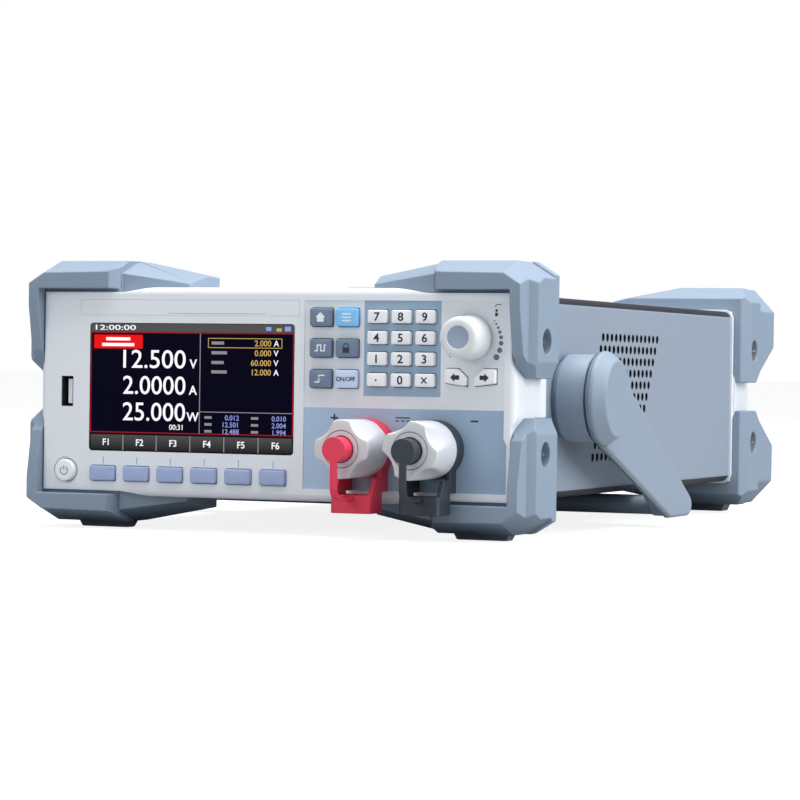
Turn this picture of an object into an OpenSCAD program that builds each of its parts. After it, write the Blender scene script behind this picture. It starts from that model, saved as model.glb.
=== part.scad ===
// Bench DC electronic load: half-rack case with corner bumpers, screen, keypad, knob,
// two input terminals with tethered dust caps, swing handle and rear fan.
// Working frame: X across, Y back from the front panel's face, Z up from the panel's mid-height.

/* [Case] */
// Width of the sheet-metal sleeve
case_w = 214.5; // [208:0.5:222]
// Height of the sheet-metal sleeve
case_h = 84.8; // [82:0.2:90]
// Length of the sleeve between the two mouldings
case_l = 275; // [240:1:320]
// Thickness of the sleeve's sheet
sheet_t = 1.2; // [0.8:0.1:2]
// Outer rounding of the sleeve's long edges
case_r = 4; // [2.4:0.2:6]

/* [Mouldings] */
// Depth of the front moulding
panel_d = 36; // [32:1:48]
// Depth of the rear moulding
rear_d = 28; // [26:1:40]
// Wall of both mouldings
wall_t = 2.6; // [2.2:0.1:3.4]
// How far the mouldings stand out between the bumper seats
panel_bulge = 2; // [1:0.1:2.4]
// Rounding of the front moulding's face edge
face_r = 3; // [1:0.5:4]
// Length of the slope from a bumper seat to the raised edge
seat_slope = 18; // [10:1:22]

/* [Front bumpers] */
// How far a front bumper stands out from the case side
bumper_side = 9.75; // [8:0.25:12]
// How far a front bumper stands up from the case top
bumper_top = 13.6; // [11:0.2:16]
// How far a front bumper stands proud of the panel
bumper_nose = 5.5; // [4:0.5:8]
// Depth of a front bumper behind the panel's face
bumper_back = 29.5; // [26:0.5:31]
// Width of the front rim beside the panel
rim_side = 5.4; // [4:0.2:7]
// Height of the front rim above the panel
rim_top = 8.2; // [6:0.2:10]
// Shadow gap between the front rim and the panel
rim_gap = 1.4; // [0.6:0.2:2]
// Height above mid-panel at which a bumper's arm ends
arm_end = 8; // [5:0.5:12]
// Length of a wing along the panel's edge
wing_l = 71.25; // [60:0.25:78]
// Height of a moulded foot
foot_h = 3; // [2:0.2:5]

/* [Rear bumpers] */
// How far a rear bumper stands out from the case side
rear_side = 8.5; // [7:0.25:11]
// How far a rear bumper stands up from the case top
rear_top = 12.2; // [10:0.2:14]
// How far a rear bumper stands behind the rear panel
rear_tail = 22; // [10:1:30]

/* [Screen] */
// Height of the display window
screen_h = 54.7; // [46:0.5:58]
// Distance of the display window from the panel's left edge
screen_inset = 21.9; // [19:0.1:24]
// Middle of the display window, up
screen_z = 1.9; // [0:0.1:3]

/* [Keys] */
// Travel of every key
key_travel = 0.9; // [0.5:0.1:1.2]
// How far a key stands proud of the panel
key_proud = 2; // [1:0.2:3]
// Space between two screen keys
softkey_space = 4.2; // [2.4:0.2:7]
// Height of a screen key
softkey_h = 6.3; // [5:0.1:6.6]
// Width of a function key
fkey_w = 9.8; // [8:0.1:10]
// Height of a function key
fkey_h = 7.5; // [6:0.1:9]
// Width of a number key
nkey_w = 8.5; // [7:0.1:8.7]
// Height of a number key
nkey_h = 5.5; // [4.5:0.1:6]
// Width of an arrow key
akey_w = 9.4; // [8:0.1:10]
// Height of an arrow key
akey_h = 7.1; // [6:0.1:8]
// Diameter of the power button
power_d = 9.4; // [8:0.2:10]

/* [Knob] */
// Diameter of the knob
knob_d = 18.3; // [15:0.1:20]
// Height of the knob
knob_h = 14; // [11:0.5:18]
// Diameter of the knob's shaft
shaft_d = 6; // [5:0.2:6.4]
// Travel of the knob when it is pushed
knob_travel = 0.7; // [0.4:0.1:0.9]

/* [Terminals] */
// Spacing of the two input terminals
terminal_pitch = 30; // [28:0.5:32]
// Diameter of a terminal nut
nut_d = 24; // [22:0.2:25]
// Length of a terminal nut
nut_l = 21; // [18:0.5:24]
// How far a terminal nut unscrews
nut_travel = 2.5; // [1:0.1:2.6]
// Diameter of a terminal's insulated stud
stud_d = 14.8; // [13:0.1:15.6]
// Length of the shroud's ring behind the nut
ring_l = 7.3; // [6:0.1:9]
// Diameter of a dust cap
dust_d = 10.2; // [9:0.1:10.4]

/* [Handle] */
// Distance of the handle's pivot behind the panel's face
pivot_y = 65; // [62:0.5:70]
// Radius of the arm's round head
head_r = 20; // [19:0.5:22]
// Radius of the fixed hub
hub_r = 18.5; // [15:0.5:19]
// Length of the fixed hub out from the case side
hub_t = 14.7; // [11:0.1:17]
// Thickness of an arm's blade
arm_t = 3.2; // [2.4:0.1:5]
// Distance of the arm's end behind the pivot, stowed
grip_y = 119.5; // [118.5:0.5:124]
// Distance of the grip's middle below the pivot, stowed
grip_drop = 49; // [48.5:0.1:50.5]
// Diameter of the pivot pin
pin_d = 16; // [10:0.5:20]

/* [Vents] */
// Diameter of a vent hole
vent_d = 3.8; // [2:0.1:4.4]
// Spacing of the vent holes in a row
vent_pitch = 5.94; // [5.4:0.02:6.4]
// Spacing of the vent rows
vent_row = 5.25; // [4.9:0.05:5.6]

/* [Inside] */
// Side of the square fan
fan_w = 70; // [60:1:74]
// Depth of the fan
fan_d = 20; // [15:1:22]
// Number of fan blades
fan_blades = 7; // [5:1:9]
// Number of heat-sink fins
fin_count = 14; // [8:1:18]
// Height of the heat sink
sink_h = 60; // [40:1:64]

/* [Hidden] */
$fn = 64;

// Clearances: between moving pieces, and of a shaft or pin in its bore, on the radius
gap = 0.3;
fit = 0.05;
// Overrun of a cutter past a face
over = 1;

// Main planes
half_w = case_w / 2;
half_h = case_h / 2;
sleeve_end = panel_d + case_l;
rear_face = sleeve_end + rear_d;
tail_face = rear_face + rear_tail;
foot_base = half_h + bumper_top + foot_h;

// Front panel: overlay recess
overlay_t = 0.8;
overlay_sink = 0.4;
overlay_w = 90.2;
overlay_edge = 1.65;
overlay_x1 = half_w - overlay_edge;
overlay_x0 = overlay_x1 - overlay_w;
overlay_z0 = -39.1;
overlay_z1 = 39.2;
overlay_jog = 1.3;
jog_z0 = 16.3;
jog_z1 = 19.5;
corner_r = 1.5;

// Window glass in its stepped opening, between the left edge and the overlay
screen_gap = 4.4;
screen_x0 = -half_w + screen_inset;
screen_w = overlay_x0 - screen_gap - screen_x0;
screen_x = screen_x0 + screen_w / 2;
glass_sink = 0.3;
glass_t = 1.3;
glass_ledge = 1.5;
module_margin = 4.3;
module_t = 4.4;

// Keys: corner rounding, edge chamfer, retaining lip, stem and switch
key_r = 0.9;
key_edge = 0.5;
lip_w = 0.75;
lip_t = 1.2;
stem_d = 3;
switch_w = 6;
stem_l = 3;
switch_h = 1.7;
lip_y = wall_t + gap;
stem_end = lip_y + lip_t + stem_l;
switch_y = stem_end + key_travel + gap;
board_y = switch_y + switch_h;
board_t = 1.6;

// Key positions: middle of the first key, then the spacing of columns and rows
softkey_in = 7.2;
softkey_out = 9.15;
softkey_x = screen_x0 + softkey_in;
softkey_z = -34.95;
softkey_count = 6;
softkey_pitch = (screen_w - softkey_in - softkey_out) / (softkey_count - 1);
softkey_w = softkey_pitch - softkey_space;
fkey_x = overlay_x0 + 8;
fkey_z = 32.15;
fkey_col = 11.75;
fkey_row = 12.72;
nkey_x = overlay_x0 + 33.3;
nkey_z = 32.6;
nkey_col = 10.65;
nkey_row = 8.66;
akey_mid = overlay_x0 + 74.5;
akey_z = 8.05;
akey_space = 12.7;
akey_cut_x = 4;
akey_cut_z = 3.6;
akey_slope = 1.2;
power_x = -half_w + 11.05;
power_z = -34.1;
power_recess = 1.2;
power_ring = 0.8;

// Socket beside the screen
usb_x = -half_w + 11.15;
usb_z = -0.2;
usb_w = 5.8;
usb_h = 13;
usb_wall = 0.4;

// Knob and encoder
knob_x = overlay_x0 + 74.2;
knob_z = 24.2;
knob_clear = 0.5;
knob_lift = knob_travel + knob_clear;
knob_draft = 0.7;
knob_edge = 2.2;
insert_d = 9.4;
insert_t = 1;
rotor_wall = 1.5;
rotor_d = shaft_d + 2 * rotor_wall;
encoder_w = 13;
shaft_in = 9;

// Terminals
terminal_mid = overlay_x0 + 44.6;
terminal_z = -21.5;
seat_y = overlay_sink;
ring_over = 0.4;
ring_d = nut_d + ring_over;
ring_front = seat_y - ring_l;
nut_back = ring_front - gap;
nut_front = nut_back - nut_l;
dust_clear = 5;
dust_front = nut_front - nut_travel - dust_clear;
mid_y = (tail_face + dust_front) / 2;
lobe_count = 4;
lobe_depth = 2.8;
lobe_r = 11;
lobe_back = 4;
nut_turn_pos = 45;
nut_turn_neg = 61;
washer_t = 1;
washer_inset = 1.5;
washer_d = nut_d - 2 * washer_inset;
stud_thread = 6;
stud_tail = 6;
stud_clear = 2;
socket_clear = 0.5;
socket_d = dust_d + 2 * socket_clear;
socket_depth = 2.5;
banana_d = 4.1;
banana_depth = 18;

// Shroud below each nut
shroud_w = 17.8;
shroud_wall = 1.8;
shroud_block_h = 7.6;
shroud_block_drop = 6.7;
shroud_foot_drop = 5.6;
nut_low = terminal_z - nut_d / 2;
shroud_block_top = nut_low - shroud_block_drop;
shroud_front = -19;
shroud_back = -(bumper_nose + gap);
shroud_foot = nut_low - shroud_foot_drop;
shroud_corner = 2.5;
shroud_rake = 3.9;

// Dust cap on its strap
dust_in = 0.8;
strap_w = 3;
strap_t = 1.4;
strap_bend = 6;
bead_r = 1.3;
bead_y = shroud_front - bead_r - gap;
bead_z = shroud_block_top - bead_r;
bend_z = bead_z - strap_t / 2 + strap_bend;

// Front bumper facets, measured from the panel's face
wing_tip = half_w - wing_l;
nose_step_x = half_w - 32.25;
nose_step_w = 3;
nose_step_y = 3.6;
nose_fall = 2.1;
shoulder_front = 2.3;
shoulder_side = 5;
shoulder_crest = 10;
rim_lean = 0.6;
wing_tip_y = 23;
wing_tip_h = 7;
crest_x = half_w - 35.25;
corner_side = 5.6;
corner_top = 9;
rim_corner_x = 7.1;
rim_corner_z = 4.9;
arm_lean = 3;
arm_nose_end = 16;
arm_lean_top = 35;
arm_back = 2;
corner_groove = 1.2;
corner_crest = 11;
lean_normal = atan2(corner_top, corner_side);
groove_back = 24;

// Feet under the lower bumpers
foot_x0 = half_w - 32.25;
foot_x1 = half_w - 6.75;
foot_len = 10;
foot_taper = 1.6;
rear_foot_x0 = half_w - 37.25;
rear_foot_x1 = half_w - 12.25;
rear_foot_len = 14;

// Rim of the rear moulding, seen between the sleeve and the rear bumpers
rear_rim = 2;
rear_rim_proud = 1;
rear_gap = 0.6;
rear_start = sleeve_end + rear_rim + rear_gap;

// Rear bumper facets, measured from its front face
rear_lip_side = 4.5;
rear_lip_top = 6.7;
rear_shoulder = 4.5;
rear_crest = 12;
rear_arm_end = 7;
rear_arm_l = 16;
rear_arm_knee = 23;
rear_knee_rise = 5.5;
rear_arm_rise = 18;
rear_tip = half_w - 63.25;
rear_tip_h = 4.8;
rear_crest_x = half_w - 31.25;
rear_corner = 7.4;
rear_step_y = 22;
rear_step = 4.2;

// Side screws of the bumpers
screw_y = 15.5;
rear_screw_y = 12;
screw_z = 23;
screw_head_d = 9;
screw_head_t = 2.6;
screw_bore_d = 10.4;
screw_floor = 4.2;
screw_shank_d = 4;
screw_clear = 0.2;
screw_len = 9;

// Handle: head profile outwards from the hub, blade, stiffening rib towards the grip
arm_clear = 0.45;
arm_x = half_w + bumper_side + arm_clear;
hub_neck = 2.2;
hub_neck_in = 2;
head_x = half_w + hub_t + gap;
head_flare = 2.2;
head_band = 1.6;
head_cone = 5.2;
head_face_r = 16;
head_skin = 3;
head_end = head_x + head_flare + head_band + head_cone;
blade_x1 = head_x + head_flare + head_band;
blade_x0 = blade_x1 - arm_t;
blade_r = 19.6;
blade_edge = 1.1;
tip_r = 5;
tip_w = 26.4;
grip_r = 4;
grip_w = 18.5;
rib_y = 35;
rib_z = -13.5;
rib_r = 9;
rib_inset = 0.8;
pin_end = head_end - head_skin;

// Vents
vent_rows = 11;
vent_cols = 14;
vent_y = 114.4;
vent_z = 26.4;
vent_front = 102;

// Inside pieces
chassis_t = 1.5;
chassis_gap = case_r - sheet_t + gap;
post_h = 5;
post_d = 6;
post_z = 18;
post_inset = 12;
main_t = 1.6;
main_l = 220;
fin_t = 1.5;
sink_w = 96;
sink_l = 130;
sink_base = 6;
fan_x = -half_w + 65.25;
fan_wall = 2;
fan_bore = fan_w - 2 * fan_wall;
fan_hub = 30;
fan_pin_d = 4;
fan_spoke = 4;
blade_t = 1.8;
blade_pitch = 40;
rotor_gap = 1;
guard_ring = 2.2;
guard_rings = 4;
inlet_x = half_w - 39.25;
inlet_z = -12;
inlet_w = 27;
inlet_h = 19.6;
inlet_lip = 2.2;
inlet_wall = 1.4;
inlet_depth = 17;
inlet_pin_w = 4;
inlet_pin_t = 2;
inlet_pin_in = 6;
inlet_pin_gap = 7;
inlet_pin_rise = 2;

body_blue = [0.60, 0.66, 0.76];
shell_white = [0.86, 0.88, 0.92];
slate = [0.37, 0.43, 0.53];
pale = [0.88, 0.90, 0.94];
steel = [0.7, 0.72, 0.75];
dark = [0.16, 0.18, 0.22];
red = [0.80, 0.16, 0.27];

// Moves the working frame so that the origin lies on the floor under the middle
module place() {
    translate([0, -mid_y, foot_base]) children();
}

// Extrudes a front view (X, Z) from y0 back to y1
module from_front(y0, y1) {
    translate([0, y1, 0]) rotate([90, 0, 0]) linear_extrude(y1 - y0) children();
}

// Extrudes a top view (X, Y) from z0 up to z1
module from_top(z0, z1) {
    translate([0, 0, z0]) linear_extrude(z1 - z0) children();
}

// Extrudes a side view (Y, Z) from x0 out to x1
module from_side(x0, x1) {
    translate([x0, 0, 0]) rotate([90, 0, 90]) linear_extrude(x1 - x0) children();
}

// Rectangle with round corners
module round_rect(w, h, r) {
    square([w - 2 * r, h], center = true);
    square([w, h - 2 * r], center = true);
    for (x = [-1, 1], z = [-1, 1])
        translate([x * (w / 2 - r), z * (h / 2 - r)]) circle(r);
}

// Copies a piece to the left and right
module both_sides() {
    children();
    mirror([1, 0, 0]) children();
}

// Block with round upright corners and a chamfered front edge
module front_block(w, h, r, y0, y1, edge) {
    intersection() {
        from_front(y0, y1) round_rect(w, h, r);
        from_top(-h, h) edge_profile(w, y0, y1, edge);
        rotate([0, 90, 0]) from_top(-w, w) edge_profile(h, y0, y1, edge);
    }
}

module edge_profile(w, y0, y1, edge) {
    polygon([[-w / 2, y1], [-w / 2, y0 + edge], [-w / 2 + edge, y0],
             [w / 2 - edge, y0], [w / 2, y0 + edge], [w / 2, y1]]);
}

// Places of the keys on the panel
function softkey_at(i) = [softkey_x + i * softkey_pitch, softkey_z];
function fkey_at(i) = [fkey_x + (i % 2) * fkey_col, fkey_z - floor(i / 2) * fkey_row];
function nkey_at(col, row) = [nkey_x + col * nkey_col, nkey_z - row * nkey_row];
function akey_at(side) = [akey_mid + side * akey_space / 2, akey_z];
function terminal_at(side) = [terminal_mid + side * terminal_pitch / 2, terminal_z];
fkey_count = 6;
nkey_cols = 3;
nkey_rows = 4;

// Calls its children at each key of one kind
module at(p) {
    translate([p[0], 0, p[1]]) children();
}

module all_keys(grow) {
    for (i = [0 : softkey_count - 1])
        translate(softkey_at(i)) round_rect(softkey_w + 2 * grow, softkey_h + 2 * grow, key_r);
    control_keys(grow);
}

module control_keys(grow) {
    for (i = [0 : fkey_count - 1])
        translate(fkey_at(i)) round_rect(fkey_w + 2 * grow, fkey_h + 2 * grow, key_r);
    for (c = [0 : nkey_cols - 1], r = [0 : nkey_rows - 1])
        translate(nkey_at(c, r)) round_rect(nkey_w + 2 * grow, nkey_h + 2 * grow, key_r);
    for (side = [-1, 1])
        translate(akey_at(side)) arrow_outline(side, grow);
}

// Arrow key: a rectangle whose upper inner corner is cut off and whose lower edge falls inwards
module arrow_outline(side, grow) {
    w = akey_w / 2 + grow;
    h = akey_h / 2 + grow;
    mirror([side > 0 ? 1 : 0, 0])
        polygon([[-w, -h + akey_slope], [w, -h], [w, h - akey_cut_z], [w - akey_cut_x, h], [-w, h]]);
}

// Lip and stem behind a key
module key_tail(w, h) {
    from_front(lip_y, lip_y + lip_t) square([w + 2 * lip_w, h + 2 * lip_w], center = true);
    from_front(lip_y + lip_t, stem_end) circle(d = stem_d);
}

module key_blank(w, h) {
    front_block(w, h, key_r, -key_proud, lip_y, key_edge);
    key_tail(w, h);
}

module softkey(i) {
    place() at(softkey_at(i)) color([0.55, 0.61, 0.75]) key_blank(softkey_w, softkey_h);
}

module function_key(i, shade) {
    place() at(fkey_at(i)) color(shade) key_blank(fkey_w, fkey_h);
}

module number_key(col, row) {
    place() at(nkey_at(col, row)) color(pale) key_blank(nkey_w, nkey_h);
}

module arrow_key(side) {
    place() at(akey_at(side)) color(pale) {
        intersection() {
            from_front(-key_proud, lip_y) arrow_outline(side, 0);
            from_top(-akey_h, akey_h) edge_profile(akey_w, -key_proud, lip_y, key_edge);
            rotate([0, 90, 0]) from_top(-akey_w, akey_w) edge_profile(akey_h, -key_proud, lip_y, key_edge);
        }
        key_tail(akey_w, akey_h);
    }
}

module power_button() {
    place() at([power_x, power_z]) color(pale) {
        rotate([90, 0, 0]) rotate_extrude()
            polygon([[0, -lip_y], [power_d / 2, -lip_y], [power_d / 2, key_proud - key_edge],
                     [power_d / 2 - key_edge, key_proud], [0, key_proud]]);
        from_front(lip_y, lip_y + lip_t) circle(d = power_d + 2 * lip_w);
        from_front(lip_y + lip_t, stem_end) circle(d = stem_d);
    }
}

// Edge that climbs in an S from a bumper seat to the raised middle, in the first quadrant
slope_steps = 8;
function s_edge(far, near, low, high) = [
    for (k = [0 : slope_steps])
        let (t = k / slope_steps)
        [far + (near - far) * t, low + (high - low) * (1 - cos(180 * t)) / 2]
];

// Front view of a moulding: seats at the corners, raised edges between them
module moulding_outline() {
    top_far = wing_tip + 2 * seat_slope;
    side_far = arm_end + seat_slope / 3;
    top = s_edge(top_far, top_far - seat_slope, half_h, half_h + panel_bulge);
    side = [for (p = s_edge(side_far, arm_end - over, half_w, half_w + panel_bulge)) [p[1], p[0]]];
    quarter = concat([[0, 0]], [for (k = [slope_steps : -1 : 0]) side[k]], [[half_w, half_h]], top,
                     [[0, half_h + panel_bulge]]);
    for (x = [0, 1], z = [0, 1])
        mirror([x, 0]) mirror([0, z]) polygon(concat([[0, 0], [half_w + panel_bulge, 0]],
            [for (k = [1 : len(quarter) - 1]) quarter[k]]));
}

// Half profile with its front corner rounded: from the middle out to w
module rounded_front(w, depth, r) {
    translate([-w, r]) square([2 * w, depth - r]);
    translate([-w + r, 0]) square([2 * (w - r), depth]);
    for (s = [-1, 1])
        translate([s * (w - r), r]) circle(r);
}

module moulding_block(depth, r) {
    w = half_w + panel_bulge;
    h = half_h + panel_bulge;
    intersection() {
        from_front(0, depth) moulding_outline();
        from_top(-2 * h, 2 * h) rounded_front(w, depth, r);
        rotate([0, 90, 0]) from_top(-2 * w, 2 * w) rounded_front(h, depth, r);
    }
}

module moulding_hollow(depth) {
    from_front(wall_t, depth + over)
        square([case_w - 2 * wall_t, case_h - 2 * wall_t], center = true);
}

// Outline of the printed control area's recess
module overlay_outline() {
    polygon([[overlay_x0, overlay_z0], [overlay_x1, overlay_z0], [overlay_x1, -jog_z1],
             [overlay_x1 - overlay_jog, -jog_z0], [overlay_x1 - overlay_jog, jog_z0],
             [overlay_x1, jog_z1], [overlay_x1, overlay_z1], [overlay_x0, overlay_z1]]);
}

// Pilot holes for the side screws of one end's bumpers
module screw_holes(y, d) {
    for (s = [-1, 1], z = [-1, 1])
        translate([s * half_w, y, z * screw_z]) rotate([0, 90, 0])
            cylinder(h = 4 * wall_t, d = d, center = true);
}

module board_posts() {
    for (x = [-1, 1], z = [-1, 1])
        translate([x * (half_w - wall_t - post_d / 2), 0, z * post_z])
            from_front(wall_t / 2, board_y) circle(d = post_d);
}

module front_panel() {
    place() color(shell_white) {
        difference() {
            moulding_block(panel_d, face_r);
            moulding_hollow(panel_d);
            from_front(-over, overlay_sink + overlay_t) overlay_outline();
            from_front(-over, glass_sink + glass_t) translate([screen_x, screen_z])
                round_rect(screen_w, screen_h, corner_r);
            from_front(-over, wall_t + over) translate([screen_x, screen_z])
                square([screen_w - 2 * glass_ledge, screen_h - 2 * glass_ledge], center = true);
            from_front(-over, wall_t + over) {
                all_keys(gap);
                translate([power_x, power_z]) circle(d = power_d + 2 * gap);
                translate([usb_x, usb_z]) square([usb_w, usb_h], center = true);
                translate([knob_x, knob_z]) circle(d = rotor_d + 2 * gap);
                for (s = [-1, 1])
                    translate(terminal_at(s)) circle(d = stud_thread + 2 * gap);
            }
            from_front(-over, power_ring) translate([power_x, power_z])
                circle(d = power_d + 2 * power_recess);
            screw_holes(screw_y, screw_shank_d + 2 * screw_clear);
        }
        board_posts();
    }
}

module control_overlay() {
    place() color([0.70, 0.76, 0.83]) from_front(overlay_sink, overlay_sink + overlay_t)
        difference() {
            overlay_outline();
            control_keys(gap);
            translate([knob_x, knob_z]) circle(d = rotor_d + 2 * gap);
            for (s = [-1, 1])
                translate(terminal_at(s)) circle(d = stud_thread + 2 * gap);
        }
}

module display_window() {
    place() color([0.05, 0.06, 0.09]) from_front(glass_sink, glass_sink + glass_t)
        translate([screen_x, screen_z]) round_rect(screen_w, screen_h, corner_r);
}

module display_module() {
    place() color(steel) from_front(wall_t, wall_t + module_t) translate([screen_x, screen_z])
        square([screen_w + 2 * module_margin, screen_h + 2 * module_margin], center = true);
}

// Circuit board behind the panel, with a switch behind each key and the encoder's body
module key_board() {
    clear = stud_thread + 2 * stud_clear;
    place() color([0.1, 0.35, 0.2]) {
        from_front(board_y, board_y + board_t) difference() {
            square([case_w - 2 * wall_t - 2 * gap, case_h - 2 * wall_t - 2 * gap], center = true);
            for (s = [-1, 1])
                translate(terminal_at(s)) circle(d = clear);
        }
        from_front(switch_y, board_y) {
            for (i = [0 : softkey_count - 1])
                translate(softkey_at(i)) square(switch_w, center = true);
            for (i = [0 : fkey_count - 1])
                translate(fkey_at(i)) square(switch_w, center = true);
            for (c = [0 : nkey_cols - 1], r = [0 : nkey_rows - 1])
                translate(nkey_at(c, r)) square(switch_w, center = true);
            for (s = [-1, 1])
                translate(akey_at(s)) square(switch_w, center = true);
            translate([power_x, power_z]) square(switch_w, center = true);
        }
        from_front(wall_t, board_y) translate([knob_x, knob_z]) difference() {
            square(encoder_w, center = true);
            circle(d = rotor_d + 2 * fit);
        }
    }
}

module usb_socket() {
    place() color(steel) difference() {
        from_front(overlay_sink, board_y) translate([usb_x, usb_z]) square([usb_w, usb_h], center = true);
        from_front(-over, board_y - usb_wall) translate([usb_x, usb_z])
            square([usb_w - 2 * usb_wall, usb_h - 2 * usb_wall], center = true);
    }
}

// Knob: a turned shape with a drafted side, a round front edge and a seat for its cap
module knob() {
    r = knob_d / 2;
    front = r - knob_draft;
    arc = [
        for (a = [0 : 10 : 90])
            [front - knob_edge * (1 - cos(a)), knob_h - knob_edge * (1 - sin(a))]
    ];
    seat = knob_h - insert_t;
    place() at([knob_x, knob_z]) color(pale) difference() {
        translate([0, overlay_sink - knob_lift, 0]) rotate([90, 0, 0]) rotate_extrude()
            polygon(concat([[0, 0], [r, 0]], arc,
                           [[insert_d / 2, knob_h], [insert_d / 2, seat], [0, seat]]));
        from_front(overlay_sink - knob_lift - shaft_in, over) circle(d = shaft_d);
    }
}

module knob_cap() {
    front = overlay_sink - knob_lift - knob_h;
    place() at([knob_x, knob_z]) color([0.51, 0.56, 0.65])
        from_front(front, front + insert_t) circle(d = insert_d);
}

module encoder_shaft() {
    place() at([knob_x, knob_z]) color(steel)
        from_front(overlay_sink - knob_lift - shaft_in, board_y - knob_travel - gap) circle(d = shaft_d);
}

module encoder_rotor() {
    place() at([knob_x, knob_z]) color(steel)
        from_front(wall_t, board_y - gap) difference() {
            circle(d = rotor_d);
            circle(d = shaft_d + 2 * fit);
        }
}

// Ring round the stud, two walls and a block that shield the wire entry
module terminal_shroud(side, shade) {
    block_low = shroud_block_top - shroud_block_h;
    wall_x = shroud_w / 2;
    place() at([terminal_at(side)[0], 0]) color(shade) {
        difference() {
            union() {
                translate([0, 0, terminal_z]) from_front(ring_front, seat_y) circle(d = ring_d);
                for (s = [-1, 1])
                    from_side(s * (wall_x - shroud_wall / 2) - shroud_wall / 2,
                              s * (wall_x - shroud_wall / 2) + shroud_wall / 2)
                        polygon([[seat_y, terminal_z], [ring_front, terminal_z], [ring_front, nut_low],
                                 [shroud_front + shroud_corner + shroud_rake, nut_low],
                                 [shroud_front + shroud_corner, shroud_block_top],
                                 [shroud_back, shroud_block_top - over],
                                 [shroud_back, shroud_foot], [seat_y, shroud_foot]]);
                from_top(block_low, shroud_block_top) {
                    translate([-wall_x, shroud_front + shroud_corner])
                        square([shroud_w, shroud_back - shroud_front - shroud_corner]);
                    translate([-wall_x + shroud_corner, shroud_front])
                        square([shroud_w - 2 * shroud_corner, shroud_corner]);
                    for (s = [-1, 1])
                        translate([s * (wall_x - shroud_corner), shroud_front + shroud_corner])
                            circle(shroud_corner);
                }
            }
            translate([0, 0, terminal_z]) from_front(ring_front - over, seat_y + over)
                circle(d = stud_d + 2 * fit);
        }
    }
}

module terminal_studs() {
    place() color(pale) for (s = [-1, 1])
        at(terminal_at(s)) difference() {
            union() {
                from_front(nut_front, seat_y) circle(d = stud_d);
                from_front(seat_y, board_y + board_t + stud_tail) circle(d = stud_thread);
            }
            from_front(nut_front - over, nut_front + socket_depth) circle(d = socket_d);
            from_front(nut_front, nut_front + banana_depth) circle(d = banana_d);
        }
}

module terminal_washer(side) {
    place() at(terminal_at(side)) color(steel) from_front(nut_back - washer_t, nut_back) difference() {
        circle(d = washer_d);
        circle(d = stud_d + 2 * gap);
    }
}

// Nut: round at the back, four scallops that deepen towards the front
module terminal_nut(side, turn) {
    tilt = atan(lobe_depth / (nut_l - lobe_back));
    bore = stud_d / 2 + gap;
    r = nut_d / 2;
    place() at(terminal_at(side)) color(pale) difference() {
        rotate([90, 0, 0]) rotate_extrude()
            polygon([[bore, -nut_back], [r, -nut_back], [r, -nut_front - key_edge],
                     [r - key_edge, -nut_front], [bore, -nut_front]]);
        from_front(nut_back - washer_t - gap, nut_back + over) circle(d = washer_d + 2 * gap);
        for (k = [0 : lobe_count - 1])
            rotate([0, turn + k * 360 / lobe_count, 0])
                translate([r + lobe_r, nut_back - lobe_back, 0]) rotate([90, 0, -tilt])
                    translate([0, 0, -2 * over]) cylinder(h = 2 * nut_l, r = lobe_r);
    }
}

// Dust cap: a plug on a strap that runs down, round a bend and back to a bead at the shroud's block
module terminal_cap(side, shade) {
    bend = [dust_front + strap_bend, bend_z];
    place() at([terminal_at(side)[0], 0]) color(shade) {
        translate([0, 0, terminal_z]) from_front(dust_front, nut_front + dust_in) circle(d = dust_d);
        from_side(-strap_w / 2, strap_w / 2) {
            translate([dust_front, bend_z]) square([strap_t, terminal_z - bend_z]);
            translate([bend[0], bend_z - strap_bend]) square([bead_y - bend[0], strap_t]);
            intersection() {
                translate(bend) difference() {
                    circle(strap_bend);
                    circle(strap_bend - strap_t);
                }
                translate([dust_front, bend_z - strap_bend]) square(strap_bend);
            }
        }
        translate([-strap_w / 2, bead_y, bead_z]) rotate([0, 90, 0]) cylinder(h = strap_w, r = bead_r);
    }
}

// Upper right front bumper: three outlines that meet, a corner facet, less the case inside
module front_bumper() {
    side = half_w + bumper_side;
    top = half_h + bumper_top;
    rim_x = half_w + rim_side;
    rim_z = half_h + rim_top;
    difference() {
        intersection() {
            from_front(-bumper_nose - over, bumper_back)
                polygon([[0, 0], [side, 0], [side, top - corner_side], [side - corner_top, top],
                         [crest_x, top], [wing_tip, half_h + wing_tip_h], [wing_tip, 0]]);
            from_top(0, top + over)
                polygon([[wing_tip, bumper_back], [wing_tip, wing_tip_y],
                         [nose_step_x - nose_step_w, nose_step_y],
                         [nose_step_x, nose_fall - bumper_nose], [rim_x - rim_corner_x, -bumper_nose],
                         [rim_x, -bumper_nose], [rim_x + rim_lean, shoulder_front],
                         [side, shoulder_side], [side, bumper_back]]);
            from_side(0, side + over)
                polygon([[bumper_back, arm_end], [arm_back, arm_end], [arm_lean - bumper_nose, arm_nose_end],
                         [-bumper_nose, arm_lean_top], [-bumper_nose, rim_z],
                         [shoulder_front - bumper_nose, rim_z + rim_lean], [shoulder_crest, top],
                         [bumper_back, top]]);
            corner_facets(rim_x, rim_z, side, top);
        }
        from_front(-bumper_nose - over, shoulder_front)
            square([2 * (half_w + rim_gap / 2), 2 * (half_h + rim_gap)], center = true);
        from_front(-bumper_nose - over, bumper_back + over) moulding_outline();
        translate([0, screw_y, screw_z]) rotate([0, 90, 0]) {
            cylinder(h = side, d = screw_shank_d + 2 * screw_clear);
            translate([0, 0, half_w + screw_floor]) cylinder(h = bumper_side, d = screw_bore_d);
        }
    }
}

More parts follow.
